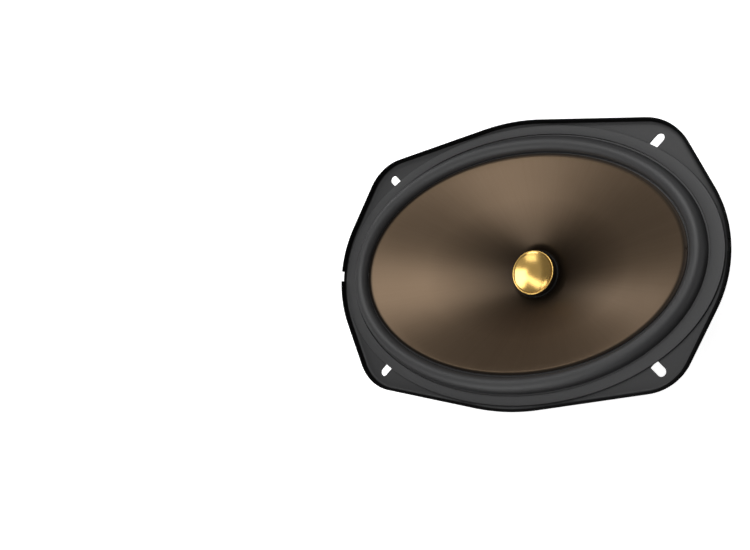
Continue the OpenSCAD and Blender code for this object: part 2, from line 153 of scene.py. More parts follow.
# %% Value: a socket that can be calculated with
class Value:
    """A node's output socket that takes part in Python arithmetic."""

    def __init__(self, tree, socket):
        self.tree = tree
        self.socket = socket

    def maths(self, operation, *others, clamp=False):
        node = self.tree.nodes.new("ShaderNodeMath")
        node.operation = operation
        node.use_clamp = clamp
        for slot, other in zip(node.inputs, (self, *others)):
            plug(self.tree, slot, other)
        return Value(self.tree, node.outputs[0])

    def __add__(self, other): return self.maths("ADD", other)
    def __radd__(self, other): return self.maths("ADD", other)
    def __sub__(self, other): return self.maths("SUBTRACT", other)
    def __rsub__(self, other): return number(self.tree, other).maths("SUBTRACT", self)
    def __mul__(self, other): return self.maths("MULTIPLY", other)
    def __rmul__(self, other): return self.maths("MULTIPLY", other)
    def __truediv__(self, other): return self.maths("DIVIDE", other)
    def __pow__(self, other): return self.maths("POWER", other)
    def clamped(self): return self.maths("ADD", 0.0, clamp=True)
    def sine(self): return self.maths("SINE")
    def cosine(self): return self.maths("COSINE")
    def root(self): return self.maths("SQRT")


def plug(tree, slot, what):
    """Links a Value into a socket, or sets the socket to a plain number, colour or name."""
    if isinstance(what, Value):
        tree.links.new(what.socket, slot)
    else:
        slot.default_value = what


def number(tree, amount):
    """A plain number as a Value, by way of a Math node that adds nothing to it."""
    node = tree.nodes.new("ShaderNodeMath")
    node.inputs[0].default_value = amount
    node.inputs[1].default_value = 0.0
    return Value(tree, node.outputs[0])


def add_node(tree, kind, settings=None, sockets=None, output=0):
    """Adds any node: its settings first, then values or links for its sockets, by name or place."""
    node = tree.nodes.new(kind)
    for key, setting in (settings or {}).items():
        setattr(node, key, setting)
    for key, what in (sockets or {}).items():
        found = [s for s in node.inputs if s.identifier == key] or [node.inputs[key]]
        plug(tree, found[0], what)
    return Value(tree, node.outputs[output])


print("operators ready")


# %% [markdown]
# ## Finishes
#
# A `Finish` is one material under construction. It keeps its tree and its main shader together, and has
# short words for the patterns used again and again: noise, bumps and mixed colours.

# %% Finish: one material under construction
class Finish:
    def __init__(self, name, base, roughness, metallic=0.0, **fixed):
        self.material = bpy.data.materials.new(name)
        self.material.use_nodes = True
        self.tree = self.material.node_tree
        self.shader = self.tree.nodes["Principled BSDF"]
        self.set("Base Color", (*base, 1))
        self.set("Roughness", roughness)
        self.set("Metallic", metallic)
        for socket, amount in fixed.items():
            self.set(socket.replace("_", " "), amount)
        self.material.diffuse_color = (*base, 1)

    def set(self, socket, what):
        plug(self.tree, self.shader.inputs[socket], what)

    def node(self, kind, settings=None, sockets=None, output=0):
        return add_node(self.tree, kind, settings, sockets, output)

    def place(self):
        return self.node("ShaderNodeTexCoord", output=3)

    def axes(self, vector):
        return [self.node("ShaderNodeSeparateXYZ", sockets={"Vector": vector}, output=i) for i in range(3)]

    def joined(self, x, y, z):
        return self.node("ShaderNodeCombineXYZ", sockets={"X": x, "Y": y, "Z": z})

    def noise(self, size_mm, detail=2.0, vector=None, roughness=0.5):
        return self.node("ShaderNodeTexNoise", sockets={
            "Vector": vector or self.place(), "Scale": 1 / (MM * size_mm),
            "Detail": detail, "Roughness": roughness})

    def mix(self, mask, first, second):
        return self.node("ShaderNodeMix", {"data_type": "RGBA"}, {
            "Factor_Float": mask, "A_Color": first if isinstance(first, Value) else (*first, 1),
            "B_Color": second if isinstance(second, Value) else (*second, 1)}, output=2)

    def bump(self, height, depth_mm, strength=1.0):
        return self.node("ShaderNodeBump", sockets={
            "Height": height, "Distance": MM * depth_mm, "Strength": strength})

    def cloudy(self, size_mm, detail, dark, light, roughness, spread):
        """Lets colour and roughness drift together in soft clouds, and returns the clouds."""
        clouds = self.noise(size_mm, detail)
        self.set("Base Color", self.mix(clouds, dark, light))
        self.set("Roughness", roughness + clouds * spread)
        return clouds

    def matt_shade_where(self, mask, colour):
        """Mixes in a plain matt shader where the mask is 1; here it paints shade as a dark matt colour."""
        matt = self.node("ShaderNodeBsdfDiffuse", sockets={"Color": (*colour, 1), "Roughness": 1.0})
        glossy = Value(self.tree, self.shader.outputs[0])
        mixed = self.node("ShaderNodeMixShader", sockets={"Fac": mask, "Shader": glossy, "Shader_001": matt})
        self.tree.links.new(mixed.socket, self.tree.nodes["Material Output"].inputs["Surface"])


print("finish class ready")

# %% [markdown]
# The cone is a pressed laminate with a satin bronze look. Two patterns make it: very fine streaks that
# run from the neck to the edge, as the pressing leaves them, and a faint mottling. Both need the angle
# round the oval and the distance out along it, which come from the object's own coordinates.

# %% Cone laminate
CONE_HALF = (98.3, 62.5)


def oval_polar(finish):
    """The cosine and sine of the angle round the cone's oval, and the distance out (1 at its edge)."""
    x, y, _ = finish.axes(finish.place())
    across = x / (MM * CONE_HALF[0])
    up = y / (MM * CONE_HALF[1])
    out = (across * across + up * up).root()
    return across / out, up / out, out


laminate = Finish("cone_laminate", (0.11, 0.076, 0.048), 0.42, 0.92, Coat_Roughness=0.3)
cosine, sine, out = oval_polar(laminate)
streaks = laminate.noise(1000, 3.0, laminate.joined(cosine * 55, sine * 55, out * 1.2), 0.6)
mottle = laminate.noise(14, 3.0)
flakes = laminate.noise(0.35, 1.0)
tone = laminate.mix((streaks * 0.75 + mottle * 0.25).clamped(), (0.130, 0.089, 0.056), (0.162, 0.114, 0.074))
# Painted shade: the tone is darker towards the neck, as a contact shadow round the cap, and on the flat rim under
# the surround
painted_neck_shade_fade = ((out - 0.13) * 1.9).clamped() ** 0.85
rim_painted_shade = ((out - 0.968) * 60).clamped()
tone = laminate.mix(painted_neck_shade_fade, (0.014, 0.009, 0.005), tone)
laminate.set("Base Color", laminate.mix(rim_painted_shade, tone, (0.018, 0.013, 0.009)))
laminate.set("Roughness", 0.37 + streaks * 0.07 + flakes * 0.04)
laminate.set("Coat Weight", 0.03 + mottle * 0.04)
laminate.set("Normal", laminate.bump(streaks * 0.7 + flakes * 0.3, 0.012, 0.6))
print("cone laminate:", len(laminate.tree.nodes), "nodes")

# %% [markdown]
# Rubber, coated steel and moulded trim are all near black. What tells them apart is the grain of the
# surface: rubber is smooth with a soft sheen, the coating has a shallow orange peel, and the trim has a
# fine moulded grain.

# %% Black finishes
rubber = Finish("surround_rubber", (0.020, 0.020, 0.021), 0.46, Specular_IOR_Level=0.75)
haze = rubber.noise(22, 3.0)
skin = rubber.noise(0.55, 2.0)
rubber.set("Base Color", rubber.mix(haze, (0.017, 0.017, 0.018), (0.027, 0.027, 0.028)))
rubber.set("Roughness", 0.45 + haze * 0.08 + skin * 0.06)
rubber.set("Normal", rubber.bump(skin, 0.02, 0.4))

coating = Finish("frame_coating", (0.014, 0.014, 0.015), 0.30, Specular_IOR_Level=0.36)
cloud = coating.cloudy(30, 2.0, (0.031, 0.031, 0.032), (0.040, 0.040, 0.041), 0.44, 0.10)
coating.set("Coat Weight", 0.08 + cloud * 0.06)
coating.set("Normal", coating.bump(coating.noise(1.3, 2.0), 0.03, 0.35))
# Above the flange's face the lip is given a matt black as painted shade, so it stays dark in any light
FACE_Z = 1.05
above_face = coating.axes(coating.place())[2] * (1 / MM) - FACE_Z
coating.matt_shade_where((above_face * 1.4).clamped() * 0.92, (0.004, 0.004, 0.004))

trim = Finish("trim_grain", (0.040, 0.040, 0.042), 0.55)
grain = trim.node("ShaderNodeTexVoronoi", {"feature": "SMOOTH_F1"},
                  {"Vector": trim.place(), "Scale": 1 / (MM * 0.7)})
trim.cloudy(25, 2.0, (0.034, 0.034, 0.035), (0.045, 0.045, 0.046), 0.46, 0.1)
trim.set("Normal", trim.bump(grain, 0.03, 0.3))

nylon = Finish("black_nylon", (0.012, 0.012, 0.012), 0.42)
nylon.set("Roughness", 0.36 + nylon.noise(2.0) * 0.14)
nylon.set("Normal", nylon.bump(nylon.noise(0.4), 0.015, 0.4))

adhesive = Finish("black_adhesive", (0.006, 0.005, 0.004), 0.5, Specular_IOR_Level=0.15)
adhesive.set("Roughness", 0.45 + adhesive.noise(1.5) * 0.15)
adhesive.set("Normal", adhesive.bump(adhesive.noise(1.2), 0.12, 0.6))
print("black finishes ready")

# %% [markdown]
# Metals. A turned or ground face carries fine rings about its axis, a drawn wire is smooth, and ferrite
# is a fired ceramic with a dull speckle.

# %% Metal and ceramic finishes
def turned_rings(finish, spacing_mm):
    """Fine rings about the Z axis, as a lathe tool leaves them."""
    x, y, z = finish.axes(finish.place())
    radius = (x * x + y * y).root()
    return finish.noise(spacing_mm, 2.0, finish.joined(radius, z * 0.3, 0.0))


gold = Finish("gold_plate", (0.86, 0.60, 0.22), 0.2, 1.0)
wipe = gold.noise(6, 2.0)
rings = turned_rings(gold, 0.25)
# Below its rim the cap's skirt is painted black as shade, with no metal sheen
SKIRT_R, SKIRT_TOP = 13.12, -25.75
gold_x, gold_y, gold_z = gold.axes(gold.place())
skirt_painted_shade = ((gold_x * gold_x + gold_y * gold_y).root() * (1 / MM) - SKIRT_R) * 30
skirt_painted_shade = skirt_painted_shade.clamped() * ((SKIRT_TOP - gold_z * (1 / MM)) * 8).clamped()
plating = gold.mix(wipe, (0.90, 0.56, 0.155), (0.96, 0.63, 0.205))
gold.set("Base Color", gold.mix(skirt_painted_shade, plating, (0.012, 0.010, 0.008)))
gold.set("Metallic", 1 - skirt_painted_shade)
gold.set("Roughness", 0.17 + wipe * 0.05 + rings * 0.04 + skirt_painted_shade * 0.3)
gold.set("Normal", gold.bump(rings, 0.004, 0.5))

plated = Finish("dark_plated_steel", (0.050, 0.050, 0.053), 0.36, 0.85)
plated.cloudy(9, 3.0, (0.036, 0.036, 0.039), (0.070, 0.070, 0.074), 0.30, 0.14)
plated.set("Normal", plated.bump(turned_rings(plated, 0.3), 0.01, 0.5))

ferrite = Finish("ferrite", (0.028, 0.028, 0.030), 0.62, 0.1)
speckle = ferrite.noise(0.9, 4.0, roughness=0.7)
stain = ferrite.noise(16, 3.0)
ferrite.set("Base Color", ferrite.mix(
    speckle * 0.6 + stain * 0.4, (0.016, 0.016, 0.018), (0.046, 0.045, 0.047)))
ferrite.set("Roughness", 0.48 + speckle * 0.22)
ferrite.set("Normal", ferrite.bump(speckle, 0.05, 0.5))

zinc = Finish("zinc_plate", (0.46, 0.46, 0.45), 0.30, 1.0)
zinc.cloudy(2.5, 3.0, (0.38, 0.38, 0.37), (0.56, 0.55, 0.52), 0.24, 0.16)

brass = Finish("tinned_brass", (0.62, 0.50, 0.27), 0.28, 1.0)
brass.cloudy(3.0, 3.0, (0.56, 0.43, 0.20), (0.68, 0.60, 0.42), 0.22, 0.16)

copper = Finish("enamelled_copper", (0.48, 0.185, 0.080), 0.26, 0.9, Coat_Roughness=0.12)
shade = copper.cloudy(2.2, 3.0, (0.36, 0.115, 0.045), (0.58, 0.25, 0.12), 0.22, 0.12)
copper.set("Coat Weight", 0.4 + shade * 0.2)

foil = Finish("bright_foil", (0.72, 0.72, 0.73), 0.22, 1.0)
foil.set("Roughness", 0.16 + foil.noise(1.5) * 0.14)

solder = Finish("solder", (0.60, 0.60, 0.58), 0.25, 1.0)
solder.set("Roughness", 0.18 + solder.noise(0.6) * 0.2)
solder.set("Normal", solder.bump(solder.noise(0.5), 0.04, 0.5))
print("metals ready")

# %% [markdown]
# The spider is woven cloth stiffened with resin, so its threads show as a plain weave, and the tinsel
# leads are braided from foil ribbon, which shows as a slanting pattern. The board is a dark laminate
# under a glossy mask. A weave is two sine waves: over a thread the height is high on one axis where it
# is low on the other.

# %% Cloth, braid and board
cloth = Finish("spider_cloth", (0.45, 0.28, 0.11), 0.72)
warp, weft, _ = cloth.axes(cloth.place())
THREAD, RIBBON = MM * 0.55, MM * 0.35
weave = ((warp * (math.pi / THREAD)).sine() * (weft * (math.pi / THREAD)).sine()) * 0.5 + 0.5
dye = cloth.noise(5, 3.0)
cloth.set("Base Color", cloth.mix(weave * 0.6 + dye * 0.4, (0.30, 0.175, 0.062), (0.56, 0.37, 0.16)))
cloth.set("Roughness", 0.62 + weave * 0.2)
cloth.set("Normal", cloth.bump(weave, 0.08, 0.7))

braid = Finish("tinsel_braid", (0.62, 0.36, 0.17), 0.34, 0.9)
bx, by, bz = braid.axes(braid.place())
strand = ((bx + by) * (math.pi / RIBBON)).sine() * ((by * 0.6 - bz) * (math.pi / RIBBON)).sine()
strand = strand * 0.5 + 0.5
braid.set("Base Color", braid.mix(strand, (0.36, 0.18, 0.07), (0.74, 0.47, 0.25)))
braid.set("Roughness", 0.26 + strand * 0.2)
braid.set("Normal", braid.bump(strand, 0.06, 0.8))

board = Finish("board_mask", (0.012, 0.013, 0.013), 0.24, Coat_Roughness=0.12)
glass = board.cloudy(1.1, 2.0, (0.008, 0.009, 0.009), (0.018, 0.020, 0.019), 0.20, 0.14)
board.set("Coat Weight", 0.3 + glass * 0.1)
board.set("Normal", board.bump(glass, 0.015, 0.4))

pale = Finish("pale_floor", (0.93, 0.93, 0.93), 0.6)
pale.set("Roughness", 0.55 + pale.noise(60) * 0.1)
pale.set("Emission Color", (1, 1, 1, 1))
pale.set("Emission Strength", 0.75)
print(len(bpy.data.materials), "materials")

# %% [markdown]
# ## Making and finishing a mesh
#
# Every finer piece goes through the same few steps: make it from points, merge what coincides, turn the
# faces outwards, keep hard corners hard, and tell the frame what it is. Putting that in one function means
# that no step is forgotten.

# %% Mesh helpers
def mesh_piece(name, points, faces):
    """A new object from points in millimetres."""
    mesh = bpy.data.meshes.new(name)
    mesh.from_pydata([tuple(metres(*p)) for p in points], [], faces)
    piece = bpy.data.objects.new(name, mesh)
    scene.collection.objects.link(piece)
    return piece


def clean(piece, sharp_degrees=38, merge_mm=0.002):
    """Merges doubles, drops empty faces, turns faces outwards and shades smooth up to an angle."""
    work = bmesh.new()
    work.from_mesh(piece.data)
    bmesh.ops.remove_doubles(work, verts=work.verts, dist=MM * merge_mm)
    bmesh.ops.dissolve_degenerate(work, edges=work.edges, dist=MM * 0.0005)
    bmesh.ops.recalc_face_normals(work, faces=work.faces)
    work.to_mesh(piece.data)
    work.free()
    piece.data.shade_smooth()
    piece.data.set_sharp_from_angle(angle=math.radians(sharp_degrees))
    return piece


def bake(piece):
    """Turns what the modifiers make into the object's own plain mesh."""
    result = bpy.data.meshes.new_from_object(piece.evaluated_get(bpy.context.evaluated_depsgraph_get()))
    piece.modifiers.clear()
    result.name = piece.name
    if piece.type != "MESH":
        plain = bpy.data.objects.new(piece.name, result)
        scene.collection.objects.link(plain)
        bpy.data.objects.remove(piece)
        return plain
    piece.data = result
    return piece


def dress(piece, finish):
    piece.data.materials.clear()
    piece.data.materials.append(finish.material)
    return piece


def stand_in_for(piece, finish, body, node):
    """The closing step of a finer piece: its finish, its body and the node that it replaces."""
    dress(piece, finish)
    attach(piece, body)
    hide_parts(node)
    print(f"{piece.name}: {len(piece.data.polygons)} faces for {node}")


# %% [markdown]
# Two kinds of sweep make most of a loudspeaker. `oval_ring` carries a closed outline round the oval, and
# `turned` spins an outline about Z, as on a lathe. `soften` rounds the corners of an outline first, since
# no pressed or moulded edge is truly sharp, and an edge needs a radius to catch the light.

# %% Outlines and sweeps
def soften(points, radius, steps=4, closed=True):
    """Rounds each corner of an outline with a curve that starts and ends `radius` away from it."""
    points = [np.array(p, float) for p in points]
    radii = radius if isinstance(radius, (list, tuple)) else [radius] * len(points)
    out = []
    for i, (corner, r) in enumerate(zip(points, radii)):
        if not closed and i in (0, len(points) - 1) or r == 0:
            out.append(corner)
            continue
        before, after = points[i - 1] - corner, points[(i + 1) % len(points)] - corner
        start = corner + before / np.linalg.norm(before) * min(r, np.linalg.norm(before) * 0.48)
        end = corner + after / np.linalg.norm(after) * min(r, np.linalg.norm(after) * 0.48)
        for t in np.linspace(0, 1, steps + 1):
            out.append((1 - t) ** 2 * start + 2 * t * (1 - t) * corner + t * t * end)
    return out


def ring_faces(columns, rows):
    """Quads of a grid that closes on itself both ways, as on a ring."""
    return [(i * rows + j, i * rows + (j + 1) % rows,
             ((i + 1) % columns) * rows + (j + 1) % rows, ((i + 1) % columns) * rows + j)
            for i in range(columns) for j in range(rows)]


def oval_ring(name, outline, columns=288, sharp_degrees=38):
    """Carries a closed outline of (half length, half width, z) points round the oval."""
    points = []
    for i in range(columns):
        a = 2 * math.pi * i / columns
        points += [(x * math.cos(a), y * math.sin(a), z) for x, y, z in outline]
    return clean(mesh_piece(name, points, ring_faces(columns, len(outline))), sharp_degrees)


def turned(name, outline, columns=128, sharp_degrees=38):
    """Spins a closed outline of (radius, z) points about Z; points on the axis merge into one."""
    return oval_ring(name, [(r, r, z) for r, z in outline], columns, sharp_degrees)


# The studio: a round floor that curves up into a wall and a ceiling. It glows softly, so the backdrop stays
# white, but only the camera sees it, and the woofer keeps its clean black reflections.
low = cad_box[0][2] / MM
floor = turned("studio_sweep", [(0, low), (300, low)] + soften(
    [(3000, low), (5000, low), (5000, 4000), (0, 4000)], [0, 1500, 1500, 0], 12, closed=False), 96)
dress(floor, pale)
floor.visible_glossy = False
floor.visible_diffuse = False
print("sweeps ready, floor at", round(low, 1), "mm")

# %% [markdown]
# ## The frame
#
# A car woofer's frame is one sheet of steel, pressed into a bowl and painted black. Its flange follows
# arcs and straight lines, its rim is turned up into a lip, and eight windows leave spokes between them.
# It could be modelled by hand, but every edge of it follows from a few radii, so it is calculated.
#
# First the outline: end arcs, corner arcs and bowed sides, joined by straight lines. Drawing it in by a
# distance only takes that distance off every radius, because the centres stay where they are.

# %% Flange outline
STEEL = 1.0
FLANGE_HALF = (118.6, 82.4)
END_RADIUS, CORNER_RADIUS, SIDE_RADIUS = 69.0, 28.0, 118.0
END_ANGLE, SIDE_ANGLE = math.radians(26.4), math.radians(81.1)
LIP_TOP = 5.0
MOUTH_HALF = (104.5, 69.0)


def corner_centre():
    """The corner arc's centre, from the two straight lines that it has to touch."""
    to_end = (FLANGE_HALF[0] - END_RADIUS) * math.cos(END_ANGLE) + END_RADIUS - CORNER_RADIUS
    to_side = (FLANGE_HALF[1] - SIDE_RADIUS) * math.sin(SIDE_ANGLE) + SIDE_RADIUS - CORNER_RADIUS
    lines = [[math.cos(END_ANGLE), math.sin(END_ANGLE)], [math.cos(SIDE_ANGLE), math.sin(SIDE_ANGLE)]]
    return np.linalg.solve(lines, [to_end, to_side])


CORNER_CENTRE = corner_centre()


def flange_outline(inset, straight=14):
    """Points of the whole outline, drawn in by `inset`, the same number whatever the inset."""
    arcs = [((FLANGE_HALF[0] - END_RADIUS, 0), END_RADIUS, 0, END_ANGLE, 26),
            (tuple(CORNER_CENTRE), CORNER_RADIUS, END_ANGLE, SIDE_ANGLE, 26),
            ((0, FLANGE_HALF[1] - SIDE_RADIUS), SIDE_RADIUS, SIDE_ANGLE, math.pi / 2, 16)]
    quarter = []
    for centre, radius, start, end, count in arcs:
        arc = [np.array(centre) + (radius - inset) * np.array((math.cos(a), math.sin(a)))
               for a in np.linspace(start, end, count)]
        if quarter:
            line_start = quarter[-1]
            quarter += [line_start + (arc[0] - line_start) * k / straight for k in range(1, straight)]
        quarter += arc
    quarter = np.array(quarter)
    left = (quarter * (-1, 1))[::-1][1:]
    top = np.concatenate([quarter, left])
    bottom = (top * (1, -1))[::-1][1:-1]
    return np.concatenate([top, bottom])


print("outline:", len(flange_outline(0)), "points, corner centre", CORNER_CENTRE.round(2))

# %% [markdown]
# The flange is a sweep too, but its section reaches from the outline at one side to the oval mouth at the
# other. So each point of the section says which curve it follows and how far in from it. The four slots
# and the gap at each end of the lip are then cut with a Boolean, as the press tool punches them.

# %% Flange and lip
SLOT = {"x": 83.1, "y": 59.4, "width": 5.0, "length": 7.8, "turn": math.radians(45)}
LIP_GAP, LIP_GAP_DEPTH = 6.3, 2.7


def mouth_point(direction, grow):
    """The point of the bowl's mouth in a direction from the middle, with the oval grown by `grow`."""
    rx, ry = MOUTH_HALF[0] + grow, MOUTH_HALF[1] + grow
    x, y = direction
    return np.array(direction) / math.hypot(x / rx, y / ry)


def prism(name, outline, low, high, place=lambda x, y, z: (x, y, z)):
    """A prism over an outline; place(u, v, w) turns an outline point and a height into a point."""
    count = len(outline)
    points = [place(*p, low) for p in outline] + [place(*p, high) for p in outline]
    sides = [(i, (i + 1) % count, count + (i + 1) % count, count + i) for i in range(count)]
    caps = [tuple(range(count))[::-1], tuple(range(count, 2 * count))]
    return clean(mesh_piece(name, points, sides + caps))


def cut_by(piece, tools, sharp_degrees=35):
    """Cuts the tools out of a piece with Booleans and throws the tools away."""
    for tool in tools:
        cut = piece.modifiers.new("cut", "BOOLEAN")
        cut.object, cut.operation, cut.solver = tool, "DIFFERENCE", "EXACT"
    piece = bake(piece)
    for tool in tools:
        bpy.data.objects.remove(tool)
    return clean(piece, sharp_degrees)


def bevelled(piece, width_mm, segments=2, above_degrees=30, sharp_degrees=35):
    """Rounds the edges that turn by more than an angle, after any modifier already on the piece."""
    edge = piece.modifiers.new("edge", "BEVEL")
    edge.width = MM * width_mm
    edge.segments = segments
    edge.limit_method = "ANGLE"
    edge.angle_limit = math.radians(above_degrees)
    return clean(bake(piece), sharp_degrees)


def slot_outline(sign_x, sign_y):
    half = SLOT["width"] / 2
    reach = SLOT["length"] / 2
    shape = [(-reach, half), (-reach, -half)]
    shape += [(reach - half + half * math.cos(a), half * math.sin(a))
              for a in np.linspace(-math.pi / 2, math.pi / 2, 17)]
    shape = soften(shape, [0.5, 0.5] + [0] * 17, 3)
    c, s = math.cos(SLOT["turn"]), math.sin(SLOT["turn"])
    return [(sign_x * (SLOT["x"] + c * x - s * y), sign_y * (SLOT["y"] + s * x + c * y)) for x, y in shape]


def flange():
    # (drawn in from the outline, z), from the lip's inner foot over its top and round underneath
    lip = soften([(5.2, STEEL), (STEEL, STEEL), (STEEL, LIP_TOP), (0, LIP_TOP), (0, 0), (5.2, 0)],
                 [0, 3.2, 0.4, 0.4, 1.6, 0], 8)
    mouth = soften([(2.2, 0), (0.2, 0), (0.2, STEEL), (2.2, STEEL)], [0, 0.3, 0.3, 0], 3)
    rings = [np.c_[flange_outline(inset), np.full(len(flange_outline(0)), z)] for inset, z in lip]
    guide = flange_outline(5.2)
    for grow, z in mouth:
        rings.append(np.array([(*mouth_point(p, grow), z) for p in guide]))
    columns, rows = len(guide), len(rings)
    points = [rings[j][i] for i in range(columns) for j in range(rows)]
    plate = clean(mesh_piece("flange", points, ring_faces(columns, rows)))
    tools = [prism("slot_tool", slot_outline(sx, sy), -2, 3) for sx in (1, -1) for sy in (1, -1)]
    for side in (1, -1):
        x0, x1 = sorted((side * (FLANGE_HALF[0] - 2.5), side * (FLANGE_HALF[0] + 2)))
        y = LIP_GAP / 2
        tools.append(prism("gap_tool", [(x0, -y), (x1, -y), (x1, y), (x0, y)],
                           LIP_TOP - LIP_GAP_DEPTH, LIP_TOP + 1))
    return cut_by(plate, tools, 30)


flange_plate = flange()
print("flange:", len(flange_plate.data.polygons), "faces")

# %% [markdown]
# The bowl is a grid: rows run down its wall and columns run round it. Between the wall's foot and the
# ledge the grid leaves faces out, which makes the windows. Their corners are round because the columns at
# a window's edge close in along a quarter circle, and each spoke is pressed out along its middle, which is
# what makes thin sheet stiff. Solidify then gives the sheet its thickness.

# %% Bowl with windows and spokes
WALL_FOOT = (100.5, 58.0)
WALL_DEPTH = 9.0
LEDGE = (54.6, -37.8)
LEDGE_INNER = 46.0
CUP_Z = -44.5
SPOKES = 8
SPOKE_HALF = math.radians(8)
WINDOW_CORNER = math.radians(4.2)
RIB = 1.1


def bowl_rows():
    """The outside of the bowl from the flange to the hole, as (half length, half width, z), and the
    first and last row of the windows."""
    key = [(110.5, 75.0, 0.08), (105.6, 70.1, 0.08), (*WALL_FOOT, -WALL_DEPTH),
           (LEDGE[0], LEDGE[0], LEDGE[1]), (LEDGE[0] - 1.4, LEDGE[0] - 1.4, LEDGE[1] - 0.5),
           (LEDGE_INNER, LEDGE_INNER, LEDGE[1] - 0.5), (43.5, 43.5, CUP_Z - STEEL),
           (16.0, 16.0, CUP_Z - STEEL)]
    path = soften(key, [0, 2.6, 3.2, 0.3, 0.3, 1.4, 1.4, 0], 5, closed=False)
    top = max(i for i, p in enumerate(path) if p[2] > -WALL_DEPTH - 4.0)
    low = next(i for i, p in enumerate(path) if p[2] < LEDGE[1] + 2)
    start, end = path[top], path[low]
    fractions = np.linspace(0, 1, 33)
    spoke = [start + (end - start) * f for f in fractions]
    first, last = top + 3, top + 27
    return path[:top] + spoke + path[low + 1:], first, last


def bowl():
    rows, first, last = bowl_rows()
    length = [0.0]
    for a, b in zip(rows, rows[1:]):
        length.append(length[-1] + float(np.linalg.norm(b - a)))
    half_window = math.pi / SPOKES - SPOKE_HALF
    corner_mm = 4.5
    spoke_columns, window_columns = 12, 16
    points, opened = [], []
    for j, (rx, ry, z) in enumerate(rows):
        inside = min(max(length[j], length[first]), length[last])
        edge = min(inside - length[first], length[last] - inside)
        bend = min(1.0, max(0.0, 1 - edge / corner_mm))
        half = half_window - WINDOW_CORNER * (1 - math.sqrt(max(0.0, 1 - bend * bend)))
        width = math.pi / SPOKES - half
        fade = math.sin(math.pi * min(1, max(0, (length[j] - length[first] + 3)
                                             / (length[last] - length[first] + 6)))) ** 0.35
        for k in range(SPOKES):
            middle = 2 * math.pi * k / SPOKES
            for i in range(spoke_columns):
                f = -1 + 2 * i / spoke_columns
                lift = RIB * fade * max(0.0, math.cos(f * math.pi / 1.3)) ** 0.6 if abs(f) < 0.65 else 0.0
                a = middle + f * width
                points.append(((rx + lift) * math.cos(a), (ry + lift) * math.sin(a), z))
            for i in range(window_columns):
                a = middle + width + 2 * half * i / window_columns
                points.append((rx * math.cos(a), ry * math.sin(a), z))
    columns = SPOKES * (spoke_columns + window_columns)
    faces = []
    for j in range(len(rows) - 1):
        for i in range(columns):
            in_window = i % (spoke_columns + window_columns) >= spoke_columns
            if in_window and first <= j < last:
                continue
            n = (i + 1) % columns
            faces.append((j * columns + i, j * columns + n, (j + 1) * columns + n, (j + 1) * columns + i))
    shell = clean(mesh_piece("bowl", points, faces))
    wall = shell.modifiers.new("sheet", "SOLIDIFY")
    wall.thickness = MM * STEEL
    wall.offset = -1
    wall.use_even_offset = True
    return bevelled(shell, 0.22, 2, 60, 40)


bowl_shell = bowl()
print("bowl:", len(bowl_shell.data.polygons), "faces")

# %% [markdown]
# The board needs a flat place on the spoke at the side, so that spoke carries a pressed pad with the same
# slant. Flange, bowl and pad are one steel sheet and get one coat of paint, so they become one piece.

# %% Board frame, pad, and the whole frame
WALL_FOOT_Y = WALL_FOOT[1]
BOARD_TILT = math.atan((WALL_FOOT_Y - 54.4) / 29.3)
BOARD_ORIGIN = Vector((0, -(WALL_FOOT_Y + 0.6), -8.0))
AWAY = Vector((0, -math.cos(BOARD_TILT), -math.sin(BOARD_TILT)))
DOWN = Vector((0, math.sin(BOARD_TILT), -math.cos(BOARD_TILT)))


def on_board(x, away, down):
    """A point given by its place along the board, its height off it and its distance down it."""
    return BOARD_ORIGIN + Vector((x, 0, 0)) + AWAY * away + DOWN * down


def board_block(name, low, high, bevel):
    """A block in the board's own axes with rounded edges."""
    corners = [on_board(x, a, d) for x in (low[0], high[0]) for a in (low[1], high[1]) for d in (low[2], high[2])]
    faces = [(0, 1, 3, 2), (4, 6, 7, 5), (0, 4, 5, 1), (2, 3, 7, 6), (0, 2, 6, 4), (1, 5, 7, 3)]
    return bevelled(clean(mesh_piece(name, corners, faces)), bevel, 3, sharp_degrees=38)


def board_rod(name, centre, axis, outline, columns):
    """A turned shape given as (radius, length along axis), standing on any axis."""
    spin = axis.normalized().to_track_quat("Z", "Y")
    points = []
    for i in range(columns):
        a = 2 * math.pi * i / columns
        points += [centre + spin @ Vector((r * math.cos(a), r * math.sin(a), h)) for r, h in outline]
    return clean(mesh_piece(name, points, ring_faces(columns, len(outline))))


def join(name, *parts, sharp_degrees=None):
    """Several meshes of one body and one finish as one piece."""
    work = bmesh.new()
    for part in parts:
        work.from_mesh(part.data)
        bpy.data.objects.remove(part)
    mesh = bpy.data.meshes.new(name)
    work.to_mesh(mesh)
    work.free()
    mesh.shade_smooth()
    if sharp_degrees:
        mesh.set_sharp_from_angle(angle=math.radians(sharp_degrees))
    piece = bpy.data.objects.new(name, mesh)
    scene.collection.objects.link(piece)
    return piece


pad = board_block("pad", (-11, -1.3, 2.6), (11, -0.05, 29.6), 0.5)
frame_steel = join("stamped_frame", flange_plate, bowl_shell, pad, sharp_degrees=35)
stand_in_for(frame_steel, coating, "chassis", "basket")

# %% [markdown]
# ## Gasket and roll surround
#
# The surround is a rubber roll that lets the cone move. Its shape follows a rule, so Geometry Nodes
# builds it: a flat grid gives one corner to each angle and each place across the roll, and one Set
# Position node moves them onto a half circle that follows the oval. Everything is a named input.

# %% Geometry Nodes: a roll that follows an oval
GROOVE_HALF = (109.0, 73.9)


def geometry_tree(name, inputs):
    """A new Geometry Nodes tree with named inputs, its inputs as Values, and its output node."""
    tree = bpy.data.node_groups.new(name, "GeometryNodeTree")
    for label, kind in inputs.items():
        tree.interface.new_socket(label, in_out="INPUT", socket_type=kind)
    tree.interface.new_socket("Geometry", in_out="OUTPUT", socket_type="NodeSocketGeometry")
    entry = tree.nodes.new("NodeGroupInput")
    way_out = tree.nodes.new("NodeGroupOutput")
    values = {label: Value(tree, entry.outputs[label]) for label in inputs}
    return tree, values, way_out


